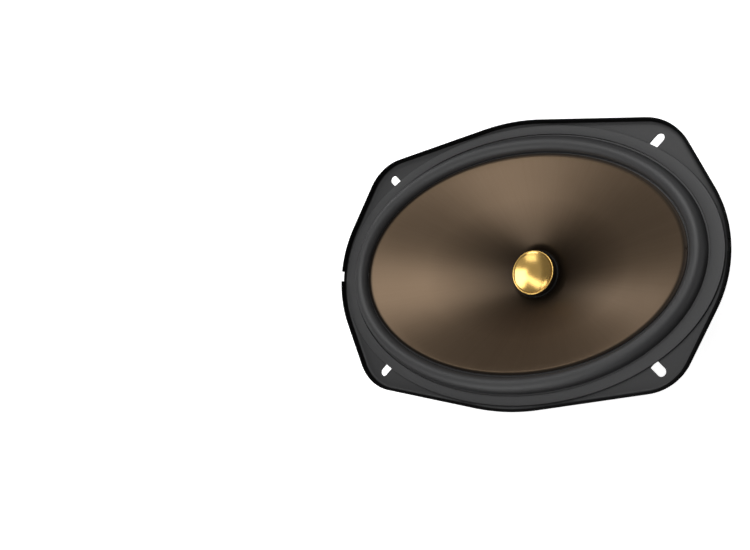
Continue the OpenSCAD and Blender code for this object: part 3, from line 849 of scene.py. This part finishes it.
def close_tree(tree, way_out, geometry, finish):
    """The end of every tree: real meshes in place of instances, in the finish that was asked for."""
    real = add_node(tree, "GeometryNodeRealizeInstances", sockets={"Geometry": geometry})
    painted = add_node(tree, "GeometryNodeSetMaterial", sockets={"Geometry": real, "Material": finish})
    plug(tree, way_out.inputs["Geometry"], painted)


def run_tree(piece, tree, settings):
    """Puts a tree on a piece, sets its inputs by socket identifier, and bakes the result."""
    modifier = piece.modifiers.new(tree.name, "NODES")
    modifier.node_group = tree
    for item in tree.interface.items_tree:
        if item.item_type == "SOCKET" and item.in_out == "INPUT" and item.name in settings:
            modifier[item.identifier] = settings[item.name]
    return bake(piece)


def roll_tree():
    lengths = ["Cone X", "Cone Y", "Groove X", "Groove Y", "Inner Z", "Outer Z", "Height"]
    tree, given, way_out = geometry_tree("oval_roll", {
        **{label: "NodeSocketFloat" for label in lengths},
        "Columns": "NodeSocketInt", "Rows": "NodeSocketInt", "Finish": "NodeSocketMaterial"})
    grid = add_node(tree, "GeometryNodeMeshGrid", sockets={
        "Size X": 2 * math.pi, "Size Y": 1.0, "Vertices X": given["Columns"], "Vertices Y": given["Rows"]})
    place = add_node(tree, "GeometryNodeInputPosition")
    angle, across = [add_node(tree, "ShaderNodeSeparateXYZ", sockets={"Vector": place}, output=i) for i in (0, 1)]
    across = across + 0.5
    # Each flat foot takes a tenth of the rows, and the half circle takes the rest
    foot = 0.1
    phi = ((across - foot) / (1 - 2 * foot)).clamped() * math.pi
    foot_in = (1 - across / foot).clamped()
    foot_out = ((across - (1 - foot)) / foot).clamped()
    u = 0.49 - 0.42 * phi.cosine() - foot_in * 0.21 + foot_out * 0.075
    rise = 0.5 - 0.5 * phi.cosine()
    z = given["Inner Z"] + (given["Outer Z"] - given["Inner Z"]) * rise + given["Height"] * phi.sine()
    x = (given["Cone X"] + (given["Groove X"] - given["Cone X"]) * u) * angle.cosine()
    y = (given["Cone Y"] + (given["Groove Y"] - given["Cone Y"]) * u) * angle.sine()
    where = add_node(tree, "ShaderNodeCombineXYZ", sockets={"X": x, "Y": y, "Z": z})
    moved = add_node(tree, "GeometryNodeSetPosition", sockets={"Geometry": grid, "Position": where})
    merged = add_node(tree, "GeometryNodeMergeByDistance", sockets={"Geometry": moved, "Distance": MM * 0.01})
    close_tree(tree, way_out, merged, given["Finish"])
    return tree


surround = run_tree(mesh_piece("roll_surround", [(0, 0, 0)], []), roll_tree(), {
    "Cone X": MM * CONE_HALF[0], "Cone Y": MM * CONE_HALF[1],
    "Groove X": MM * GROOVE_HALF[0], "Groove Y": MM * GROOVE_HALF[1],
    "Inner Z": MM * 2.4, "Outer Z": MM * 1.8, "Height": MM * 5.6,
    "Columns": 361, "Rows": 41, "Finish": rubber.material})
print("roll:", len(surround.data.vertices), "corners")

# %% [markdown]
# The roll is still a skin. It is turned outwards, given its 0.7 mm of rubber on the inside, and then told
# how to bend: its outer foot stays with the frame and its inner foot goes with the cone, so each corner's
# share of the movement is its distance across the roll.

# %% Rubber thickness and how the roll bends
def thicken(piece, thickness_mm, away_from):
    """Gives a skin its thickness on the side facing away from a direction."""
    clean(piece)
    total = sum((f.normal * f.area for f in piece.data.polygons), Vector())
    if total.dot(Vector(away_from)) < 0:
        piece.data.flip_normals()
    wall = piece.modifiers.new("wall", "SOLIDIFY")
    wall.thickness = MM * thickness_mm
    wall.offset = -1
    return clean(bake(piece), 50)


def bends_with_cone(piece, finish, node, share):
    """The closing step of a piece that bends; share(x, y, z) in mm is 0 at the frame, 1 at the cone."""
    dress(piece, finish)
    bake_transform(piece, "chassis", "cone_assembly", (0, 0, 0), (0, 0, 0.01))
    attribute = piece.data.attributes["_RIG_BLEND"]
    for index, corner in enumerate(piece.data.vertices):
        t = min(1.0, max(0.0, share(*(corner.co / MM))))
        attribute.data[index].value = t * t * (3 - 2 * t)
    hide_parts(node)


def across_roll(x, y, z):
    inner = math.hypot(x / CONE_HALF[0], y / CONE_HALF[1])
    outer = math.hypot(x / GROOVE_HALF[0], y / GROOVE_HALF[1])
    return (1 - outer) / max(1e-6, (1 - outer) + max(0.0, inner - 1)) if inner > 1 else 1.0


surround = thicken(surround, 0.7, (0, 0, 1))
bends_with_cone(surround, rubber, "surround", across_roll)

gasket = oval_ring("flange_gasket", soften(
    [(109.05, 73.95, 1.02), (116, 79, 1.02), (116, 79, 2.4), (109.05, 73.95, 2.4)], [0.1, 0.3, 0.45, 0.12], 4))
stand_in_for(gasket, trim, "chassis", "front_gasket")

# %% [markdown]
# ## Cone and dust cap
#
# The cone is a straight-sided funnel between a round neck and an oval edge, pressed from one sheet. Its
# edge turns flat where the surround is glued on, and a small notch at each end of the oval lines it up in
# the press. The dust cap is a thin gold-plated bowl whose rim is higher than its middle.

# %% Cone
NECK_Z, NECK_R, EDGE_Z = -31.2, 13.0, 3.3
RIM = 1.9


def cone_outline():
    foot = NECK_R + 1.6
    rim = (CONE_HALF[0] - RIM, CONE_HALF[1] - RIM)
    fractions = np.linspace(0, 1, 15)
    front = [(foot + (rim[0] - foot) * t, foot + (rim[1] - foot) * t, NECK_Z + (EDGE_Z - NECK_Z) * t)
             for t in fractions]
    back = [(x + 0.15, y + 0.15, z - 0.8) for x, y, z in front]
    return ([(NECK_R, NECK_R, NECK_Z - 2.4), (NECK_R + 0.8, NECK_R + 0.8, NECK_Z - 2.4),
             (NECK_R + 0.9, NECK_R + 0.9, NECK_Z - 0.8)] + back
            + [(*CONE_HALF, EDGE_Z - 0.8), (*CONE_HALF, EDGE_Z)] + front[::-1] + [(NECK_R, NECK_R, NECK_Z)])


outline = cone_outline()
radii = [0.15] * len(outline)
radii[3:18] = [0] * 15
radii[20:35] = [0.5] + [0] * 13 + [0.6]
cone = oval_ring("laminate_cone", soften(outline, radii, 3), 320)
notches = [prism("notch_tool", [(side * 97.3, -0.8), (side * 99.5, -0.8), (side * 99.5, 0.8),
                                (side * 97.3, 0.8)][::side], 2.9, 4.5) for side in (1, -1)]
cone = cut_by(cone, notches, 30)
stand_in_for(cone, laminate, "cone_assembly", "cone")

# %% Dust cap
CAP_R, CAP_TOP = 13.2, -25.4
dish = [((CAP_R - 1.1) * t, CAP_TOP - 0.35 - 2.8 * (1 - t ** 2.0)) for t in np.linspace(0, 1, 20)]
shell = dish + soften([dish[-1], (CAP_R - 0.75, CAP_TOP), (CAP_R - 0.1, CAP_TOP), (CAP_R, CAP_TOP - 0.6),
                       (CAP_R, NECK_Z + 0.1)], [0, 0.45, 0.35, 0.3, 0], 4, closed=False)[1:]
under = [(CAP_R - 0.25, NECK_Z + 0.1), (CAP_R - 0.25, CAP_TOP - 1.1)]
cap = turned("gold_dust_cap", shell + under + [(r * 0.96, z - 0.5) for r, z in dish[::-1]], 160, 30)
stand_in_for(cap, gold, "cone_assembly", "dust_cap")

bead = turned("neck_bead", soften([(13.27, -31.15), (14.4, -31.15), (14.2, -30.55), (13.27, -30.15)],
                                  [0.05, 0.2, 0.35, 0.05], 4), 160, 60)
stand_in_for(bead, adhesive, "cone_assembly", "neck_adhesive")

# %% [markdown]
# ## Voice coil, spider and magnet
#
# These sit behind the cone. The voice coil is wire on a foil tube, so its outside shows the turns; the
# spider is corrugated cloth; and plates, magnet and yoke are turned or ground rings with small chamfers.

# %% Voice coil and former
FORMER_R = 12.9
former = turned("foil_former", soften(
    [(FORMER_R - 0.3, -55), (FORMER_R, -55), (FORMER_R, -26.6), (FORMER_R - 0.3, -26.6)], 0.05, 2))
stand_in_for(former, foil, "cone_assembly", "voice_coil_former")

VOICE_TURNS, VOICE_R, VOICE_FOOT, VOICE_TOP = 34, 13.38, -54, -42
pitch = (VOICE_TOP - VOICE_FOOT) / VOICE_TURNS
scallops = [(VOICE_R + 0.12 * math.sin(math.pi * f), VOICE_FOOT + pitch * (k + f))
            for k in range(VOICE_TURNS) for f in (0, 0.25, 0.5, 0.75)]
coil = turned("wound_voice_coil", [(FORMER_R + 0.02, VOICE_FOOT)] + scallops + [
    (VOICE_R, VOICE_TOP), (FORMER_R + 0.02, VOICE_TOP)], 96, 60)
stand_in_for(coil, copper, "cone_assembly", "voice_coil")

# %% Spider
WAVES, WAVE_HEIGHT, WAVES_FROM, WAVES_TO = 5, 1.2, 16, 44
CLOTH_HALF = 0.25


def spider_line(r):
    turns = WAVES * (r - WAVES_FROM) / (WAVES_TO - WAVES_FROM)
    return -37.0 + (WAVE_HEIGHT * math.sin(2 * math.pi * turns) if WAVES_FROM < r < WAVES_TO else 0.0)


radii = np.linspace(13.02, 51.5, 150)
spider = turned("corrugated_spider", [(r, spider_line(r) + CLOTH_HALF) for r in radii]
                + [(r, spider_line(r) - CLOTH_HALF) for r in radii[::-1]], 144, 50)
bends_with_cone(spider, cloth, "spider",
                lambda x, y, z: (WAVES_TO - math.hypot(x, y)) / (WAVES_TO - WAVES_FROM))

# %% Magnet system
PLATE_TOP, MAGNET_TOP, MAGNET_FOOT, YOKE_FOOT, POLE_TOP = -45.55, -50.5, -65.5, -70.5, -44.5
GAP_R, PLATE_R = 13.95, 39
BORE_R, MAGNET_R = 17, 41
VENT_R, POLE_R, YOKE_R = 4.5, 12.2, 38

front_plate = turned("front_plate", soften(
    [(GAP_R, MAGNET_TOP), (PLATE_R, MAGNET_TOP), (PLATE_R, PLATE_TOP), (GAP_R, PLATE_TOP)],
    [0.3, 0.6, 0.6, 0.3], 3))
stand_in_for(front_plate, plated, "chassis", "top_plate")

ring_magnet = turned("ring_magnet", soften(
    [(BORE_R, MAGNET_FOOT), (MAGNET_R, MAGNET_FOOT), (MAGNET_R, MAGNET_TOP), (BORE_R, MAGNET_TOP)],
    [0.5, 0.9, 0.9, 0.5], 3))
stand_in_for(ring_magnet, ferrite, "chassis", "magnet")

yoke = turned("vented_yoke", soften(
    [(VENT_R, POLE_TOP), (VENT_R, YOKE_FOOT + 3), (VENT_R + 1.8, YOKE_FOOT), (YOKE_R, YOKE_FOOT),
     (YOKE_R, MAGNET_FOOT), (POLE_R, MAGNET_FOOT), (POLE_R, POLE_TOP)],
    [0.4, 2.0, 1.0, 1.0, 0.8, 1.2, 0.5], 5))
stand_in_for(yoke, plated, "chassis", "yoke")

# %% [markdown]
# ## Rivets and screws
#
# Repeated hardware is one small head placed many times. Geometry Nodes puts one on each point of a set
# and turns it onto its axis, so a head is drawn once.

# %% Geometry Nodes: one head on many points
def scatter_tree():
    tree, given, way_out = geometry_tree("one_on_each_point", {
        "Geometry": "NodeSocketGeometry", "Head": "NodeSocketObject",
        "Turn": "NodeSocketRotation", "Finish": "NodeSocketMaterial"})
    head = add_node(tree, "GeometryNodeObjectInfo", {"transform_space": "ORIGINAL"},
                    {"Object": given["Head"]}, output=4)
    placed = add_node(tree, "GeometryNodeInstanceOnPoints", sockets={
        "Points": given["Geometry"], "Instance": head, "Rotation": given["Turn"]})
    close_tree(tree, way_out, placed, given["Finish"])
    return tree


SCATTER = scatter_tree()


def scattered(name, head, places, axis, finish):
    points = mesh_piece(name, places, [])
    turn = axis.normalized().to_track_quat("Z", "Y").to_euler()
    piece = run_tree(points, SCATTER, {"Head": head, "Turn": turn, "Finish": finish.material})
    bpy.data.objects.remove(head)
    return clean(piece, 35)


rivet_head = turned("rivet_head", [(0, -1.2), (2.0, -1.2), (2.0, 0)] + soften(
    [(3.2, 0), (3.2, 0.5), (2.2, 1.15), (0, 1.15)], [0.1, 0.3, 0.6, 0], 3, closed=False), 32)
RIVET_RING = 30
rivet_places = [(RIVET_RING * math.cos(a), RIVET_RING * math.sin(a), -44.45)
                for a in np.radians([45, 135, 225, 315])]
rivets = scattered("plate_rivet_heads", rivet_head, rivet_places, Vector((0, 0, 1)), zinc)
stand_in_for(rivets, zinc, "chassis", "plate_rivets")

# %% [markdown]
# ## The filter board
#
# A small board on the side of the frame holds the low-pass coil and the two blade terminals. Everything on
# it is placed in the board's own axes, along it, off it and down it, so its slant is dealt with once.

# %% Board, screws and terminal rivets
BOARD_T = 1.6
COIL_R, COIL_LENGTH, COIL_X, COIL_DOWN = 4.7, 24.0, -6.7, 20.4
COIL_LIFT = BOARD_T + COIL_R + 0.5
BLADES = {"positive": {"width": 6.3, "down": 9.5}, "negative": {"width": 4.8, "down": 19.8}}
RIVET_X, BLADE_X, BLADE_T, BLADE_LENGTH = 20.5, 25.9, 0.8, 7.0
SCREW_X, SCREW_DOWN = (-8, 8), 7
TIE_X, TIE_LEG = -15.2, COIL_R + 0.8


def drill(start, axis, radius, depth):
    return board_rod("drill", start, axis, [(0, 0), (radius, 0), (radius, depth), (0, depth)], 24)


board_shape = soften([(-22, 3), (29, 3), (29, 31), (-22, 31)], 2.4, 6)
filter_board = bevelled(prism("filter_board", board_shape, 0, BOARD_T, lambda x, d, a: on_board(x, a, d)),
                        0.15, 2, 50)
hole_places = [(x, SCREW_DOWN, 1.6) for x in SCREW_X] + [(RIVET_X, b["down"], 1.3) for b in BLADES.values()]
holes = [drill(on_board(x, -1, d), AWAY, r, 4) for x, d, r in hole_places]
for side in (1, -1):
    d = COIL_DOWN + side * TIE_LEG
    holes.append(board_block("slot_tool", (TIE_X - 1.2, -1, d - 1), (TIE_X + 1.2, 3, d + 1), 0.05))
filter_board = cut_by(filter_board, holes)
stand_in_for(filter_board, board, "chassis", "crossover_board")

# %% Geometry Nodes again: screws with a cross, and rivets
HEAD_R, HEAD_HEIGHT, SHANK_R, SHANK = 2.7, 1.5, 2.7 * 0.44, 4.3
screw = turned("pan_head", [(0, -SHANK), (SHANK_R, -SHANK), (SHANK_R, 0)] + soften(
    [(HEAD_R, 0), (HEAD_R, HEAD_HEIGHT * 0.45), (HEAD_R * 0.72, HEAD_HEIGHT), (0, HEAD_HEIGHT)],
    [0.08, 0.35, 0.5, 0], 4, closed=False), 36)
screw = cut_by(screw, [prism("cross_tool", [(-a, -b), (a, -b), (a, b), (-a, b)], 0.7, 3)
                       for a, b in ((1.5, 0.3), (0.3, 1.5))])
screws = scattered("board_screw_heads", screw, [
    on_board(x, BOARD_T + 0.05, SCREW_DOWN) for x in SCREW_X], AWAY, zinc)
stand_in_for(screws, zinc, "chassis", "board_screws")

eyelet = turned("eyelet", soften([(0.5, -3.1), (2.0, -3.1), (2.0, -2.5), (1.2, -2.45), (1.2, 0), (2.0, 0),
                                  (2.0, 0.6), (0.5, 0.6)], [0.2, 0.3, 0.1, 0.1, 0.1, 0.05, 0.4, 0.2], 3), 32)
eyelets = scattered("terminal_eyelets", eyelet, [
    on_board(RIVET_X, BOARD_T + BLADE_T + 0.04, b["down"]) for b in BLADES.values()], AWAY, zinc)
stand_in_for(eyelets, zinc, "chassis", "terminal_rivets")

# %% [markdown]
# The coil is enamelled copper wire on a ferrite rod. A wound coil is a helix, so Geometry Nodes draws one
# spiral curve and gives it the wire's round section; the number of turns is an input. Winding it turn by
# turn is what makes the bright line along it break up, as it does on a real coil.

# %% Geometry Nodes: the winding
def winding_tree():
    tree, given, way_out = geometry_tree("wire_winding", {
        "Turns": "NodeSocketFloat", "Radius": "NodeSocketFloat", "Length": "NodeSocketFloat",
        "Wire": "NodeSocketFloat", "Finish": "NodeSocketMaterial"})
    middle = given["Radius"] - given["Wire"]
    helix = add_node(tree, "GeometryNodeCurveSpiral", sockets={
        "Resolution": 36, "Rotations": given["Turns"], "Start Radius": middle, "End Radius": middle,
        "Height": given["Length"]})
    section = add_node(tree, "GeometryNodeCurvePrimitiveCircle", sockets={
        "Resolution": 8, "Radius": given["Wire"]})
    wire = add_node(tree, "GeometryNodeCurveToMesh", sockets={
        "Curve": helix, "Profile Curve": section, "Fill Caps": True})
    close_tree(tree, way_out, wire, given["Finish"])
    return tree


COIL_WIRE = 0.32
winding = run_tree(mesh_piece("helix", [(0, 0, 0)], []), winding_tree(), {
    "Turns": 37.0, "Radius": MM * COIL_R, "Length": MM * (COIL_LENGTH - 2 * COIL_WIRE), "Wire": MM * COIL_WIRE,
    "Finish": copper.material})
coil_centre = on_board(COIL_X, COIL_LIFT, COIL_DOWN)
lying = Matrix.Translation(MM * (coil_centre - Vector((COIL_LENGTH / 2 - COIL_WIRE, 0, 0)))) @ \
    Matrix.Rotation(math.radians(90), 4, "Y")
winding.data.transform(lying)
clean(winding, 60)
end_left = coil_centre - Vector((COIL_LENGTH / 2, 0, 0))
layers = board_rod("layers", end_left, Vector((1, 0, 0)), soften(
    [(2.55, 0.3), (4.35, 0.3), (4.35, COIL_LENGTH - 0.3), (2.55, COIL_LENGTH - 0.3)], 0.15, 2), 64)
winding = join("copper_winding", winding, layers, sharp_degrees=60)
stand_in_for(winding, copper, "chassis", "inductor_winding")

ROD_R, ROD_LENGTH = 2.5, COIL_LENGTH + 3.4
core = board_rod("ferrite_rod", end_left - Vector((2.4, 0, 0)), Vector((1, 0, 0)),
                 [(0, 0), (ROD_R, 0), (ROD_R, ROD_LENGTH), (0, ROD_LENGTH)], 48)
core = bevelled(core, 0.35)
stand_in_for(core, ferrite, "chassis", "inductor_core")

# %% [markdown]
# A nylon tie holds the coil down: a thin strap over the winding, its two legs through slots in the board,
# and the ratchet head that locks it at one side.

# %% Tie, leads and solder
def strap(name, path, across, half_width, thickness):
    """A flat strap along a path in one plane; across is the direction of its width."""
    points = []
    for i, here in enumerate(path):
        ahead = (path[min(i + 1, len(path) - 1)] - path[max(i - 1, 0)]).normalized()
        out = ahead.cross(across).normalized()
        for side, off in ((-1, 0), (1, 0), (1, 1), (-1, 1)):
            points.append(here + across * side * half_width + out * thickness * (off - 0.5))
    faces = [(i * 4 + j, i * 4 + (j + 1) % 4, (i + 1) * 4 + (j + 1) % 4, (i + 1) * 4 + j)
             for i in range(len(path) - 1) for j in range(4)]
    faces += [(3, 2, 1, 0), tuple(len(points) - 4 + j for j in range(4))]
    return clean(mesh_piece(name, points, faces), 35)


leg, strap_r = TIE_LEG - 0.35, COIL_R + 0.3
arc = [(math.cos(a) * strap_r, COIL_LIFT + math.sin(a) * strap_r) for a in np.linspace(0.2, math.pi - 0.2, 28)]
loop = soften([(leg, 0.05), (leg, COIL_LIFT)] + arc + [(-leg, COIL_LIFT), (-leg, 0.05)],
              [0, 2.0] + [0] * len(arc) + [2.0, 0], 4, closed=False)
tie_strap = strap("tie_strap", [on_board(TIE_X, a, COIL_DOWN + d) for d, a in loop], Vector((1, 0, 0)), 0.8, 0.4)
tie_head = board_block("tie_head", (TIE_X - 1.3, 3.2, COIL_DOWN + 4.9), (TIE_X + 1.3, 5.4, COIL_DOWN + 6.4), 0.25)
tie = join("cable_tie", tie_strap, tie_head, sharp_degrees=35)
stand_in_for(tie, nylon, "chassis", "inductor_tie")


def wire(name, points, radius):
    """A round wire that passes smoothly near its points, as a curve that is then baked."""
    line = bpy.data.curves.new(name, "CURVE")
    line.dimensions = "3D"
    line.bevel_depth = MM * radius
    line.bevel_resolution = 4
    line.use_fill_caps = True
    path = line.splines.new("NURBS")
    path.points.add(len(points) - 1)
    for point, place in zip(path.points, points):
        point.co = (*(MM * Vector(place)), 1)
    path.use_endpoint_u = True
    path.order_u = 3
    path.resolution_u = 6
    piece = bpy.data.objects.new(name, line)
    scene.collection.objects.link(piece)
    return clean(bake(piece), 60)


# One end runs to the negative blade and the other to a pad of its own, as (along, off, down) places
routes = [[(5.0, 3.4, 22.9), (6.6, 3.0, 23.4), (8, 2.8, 23.6), (11, 2.8, 23.6), (14, 2.8, 23.5),
           (15.6, 2.8, 22.6), (16.2, 3.0, 21.6)],
          [(5.0, 5.0, 25.2), (6.8, 5.1, 25.8), (8.6, 5.0, 25.9), (9.9, 4.6, 25.9), (10.4, 3.6, 25.9),
           (10.5, 2.0, 25.9)]]
leads = join("coil_leads", *[wire("lead", [on_board(*p) for p in route], 0.42) for route in routes])
stand_in_for(leads, copper, "chassis", "inductor_leads")

blob = turned("blob", [(0, -0.1), (1.5, -0.1)] + soften([(1.5, 0.05), (0.9, 0.45), (0.45, 1.1), (0, 1.2)],
                                                        [0.1, 0.4, 0.4, 0], 4, closed=False), 32)
pads = scattered("board_solder", blob, [on_board(10.5, BOARD_T, 25.9)], AWAY, solder)
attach(pads, "chassis")

# %% [markdown]
# The blades are stamped from brass and bent up, with a hole that the connector's dimple snaps into and
# chamfered corners that lead it on. Their two widths stop the plug going on the wrong way round.

# %% Blade terminals
def blade(kind):
    width, down = BLADES[kind]["width"], BLADES[kind]["down"]
    half, foot_left = width / 2, 16.0
    # The stamped strip in side view, bent with a small inner radius
    bend_line = soften([(foot_left, 0), (BLADE_X + BLADE_T, 0), (BLADE_X + BLADE_T, BLADE_LENGTH)],
                       [0, 1.2, 0], 6, closed=False)
    inside = soften([(foot_left, BLADE_T), (BLADE_X, BLADE_T), (BLADE_X, BLADE_LENGTH)], [0, 0.5, 0], 6,
                    closed=False)
    side_view = bend_line + inside[::-1]
    strip = prism(f"blade_{kind}", side_view, down - half, down + half,
                  lambda x, a, d: on_board(x, a + BOARD_T + 0.02, d))
    tip = BOARD_T + BLADE_LENGTH
    tools = [drill(on_board(RIVET_X, 0, down), AWAY, 1.3, 6),
             drill(on_board(BLADE_X - 1, BOARD_T + BLADE_LENGTH * 0.66, down), Vector((1, 0, 0)), 0.8, 3)]
    for side in (1, -1):
        corner = [(tip + 1, down + side * (half + 1)), (tip - 1.3, down + side * (half + 1)),
                  (tip - 1.3, down + side * half), (tip + 0.1, down + side * (half - 1.0)),
                  (tip + 1, down + side * (half - 1.0))]
        tools.append(prism("corner_tool", corner, BLADE_X - 1, BLADE_X + 2, lambda a, d, x: on_board(x, a, d)))
    return bevelled(cut_by(strip, tools), 0.08, 1, 50)


for kind in BLADES:
    stand_in_for(blade(kind), brass, "chassis", f"terminal_{kind}")

# %% [markdown]
# ## Tinsel leads
#
# Two braided leads carry the signal from the terminals to the voice coil. They are limp, so they hang in
# an even curve and bend as the cone moves: the end at the board stays and the end at the coil travels.

# %% Tinsel leads and their joints on the former
TINSEL_R = 0.6
JOINT_Z, JOINT_SIDE = -34.6, 5.5


def tinsel_path(side, down, count=40):
    out = FORMER_R + 0.6 + TINSEL_R
    a = math.asin(JOINT_SIDE / out)
    start = on_board(RIVET_X, -1.6, down)
    stop = Vector((side * out * math.sin(a), -out * math.cos(a), JOINT_Z))
    far = Vector((side * (out + 14) * math.sin(a), -(out + 14) * math.cos(a), JOINT_Z + 1))
    drop = start + Vector((-0.5, 9, -4 if side > 0 else -2))
    curve = []
    for t in np.linspace(0, 1, count).tolist():
        w = 1 - t
        curve.append(w ** 3 * start + 3 * w * w * t * drop + 3 * w * t * t * far + t ** 3 * stop)
    return curve


for side, kind in ((1, "positive"), (-1, "negative")):
    path = tinsel_path(side, BLADES[kind]["down"])
    start, reach = path[0].y, path[-1].y - path[0].y
    bends_with_cone(wire(f"tinsel_{kind}", path, TINSEL_R), braid, f"tinsel_lead_{kind}",
                    lambda x, y, z: (y - start - 1.0) / (reach - 2.0))

joints = []
for side in (1, -1):
    a = math.radians(-90) + side * math.asin(JOINT_SIDE / (FORMER_R + 1.2))
    way = Vector((math.cos(a), math.sin(a), 0))
    joints.append(board_rod("joint", way * (FORMER_R + 0.04) + Vector((0, 0, JOINT_Z)), way, [(0, 0)] + soften(
        [(0.9, 0), (0.9, 0.46), (0, 0.46)], [0, 0.25, 0], 3, closed=False), 32))
lead_solder = join("lead_solder", *joints)
stand_in_for(lead_solder, solder, "cone_assembly", "lead_joints")
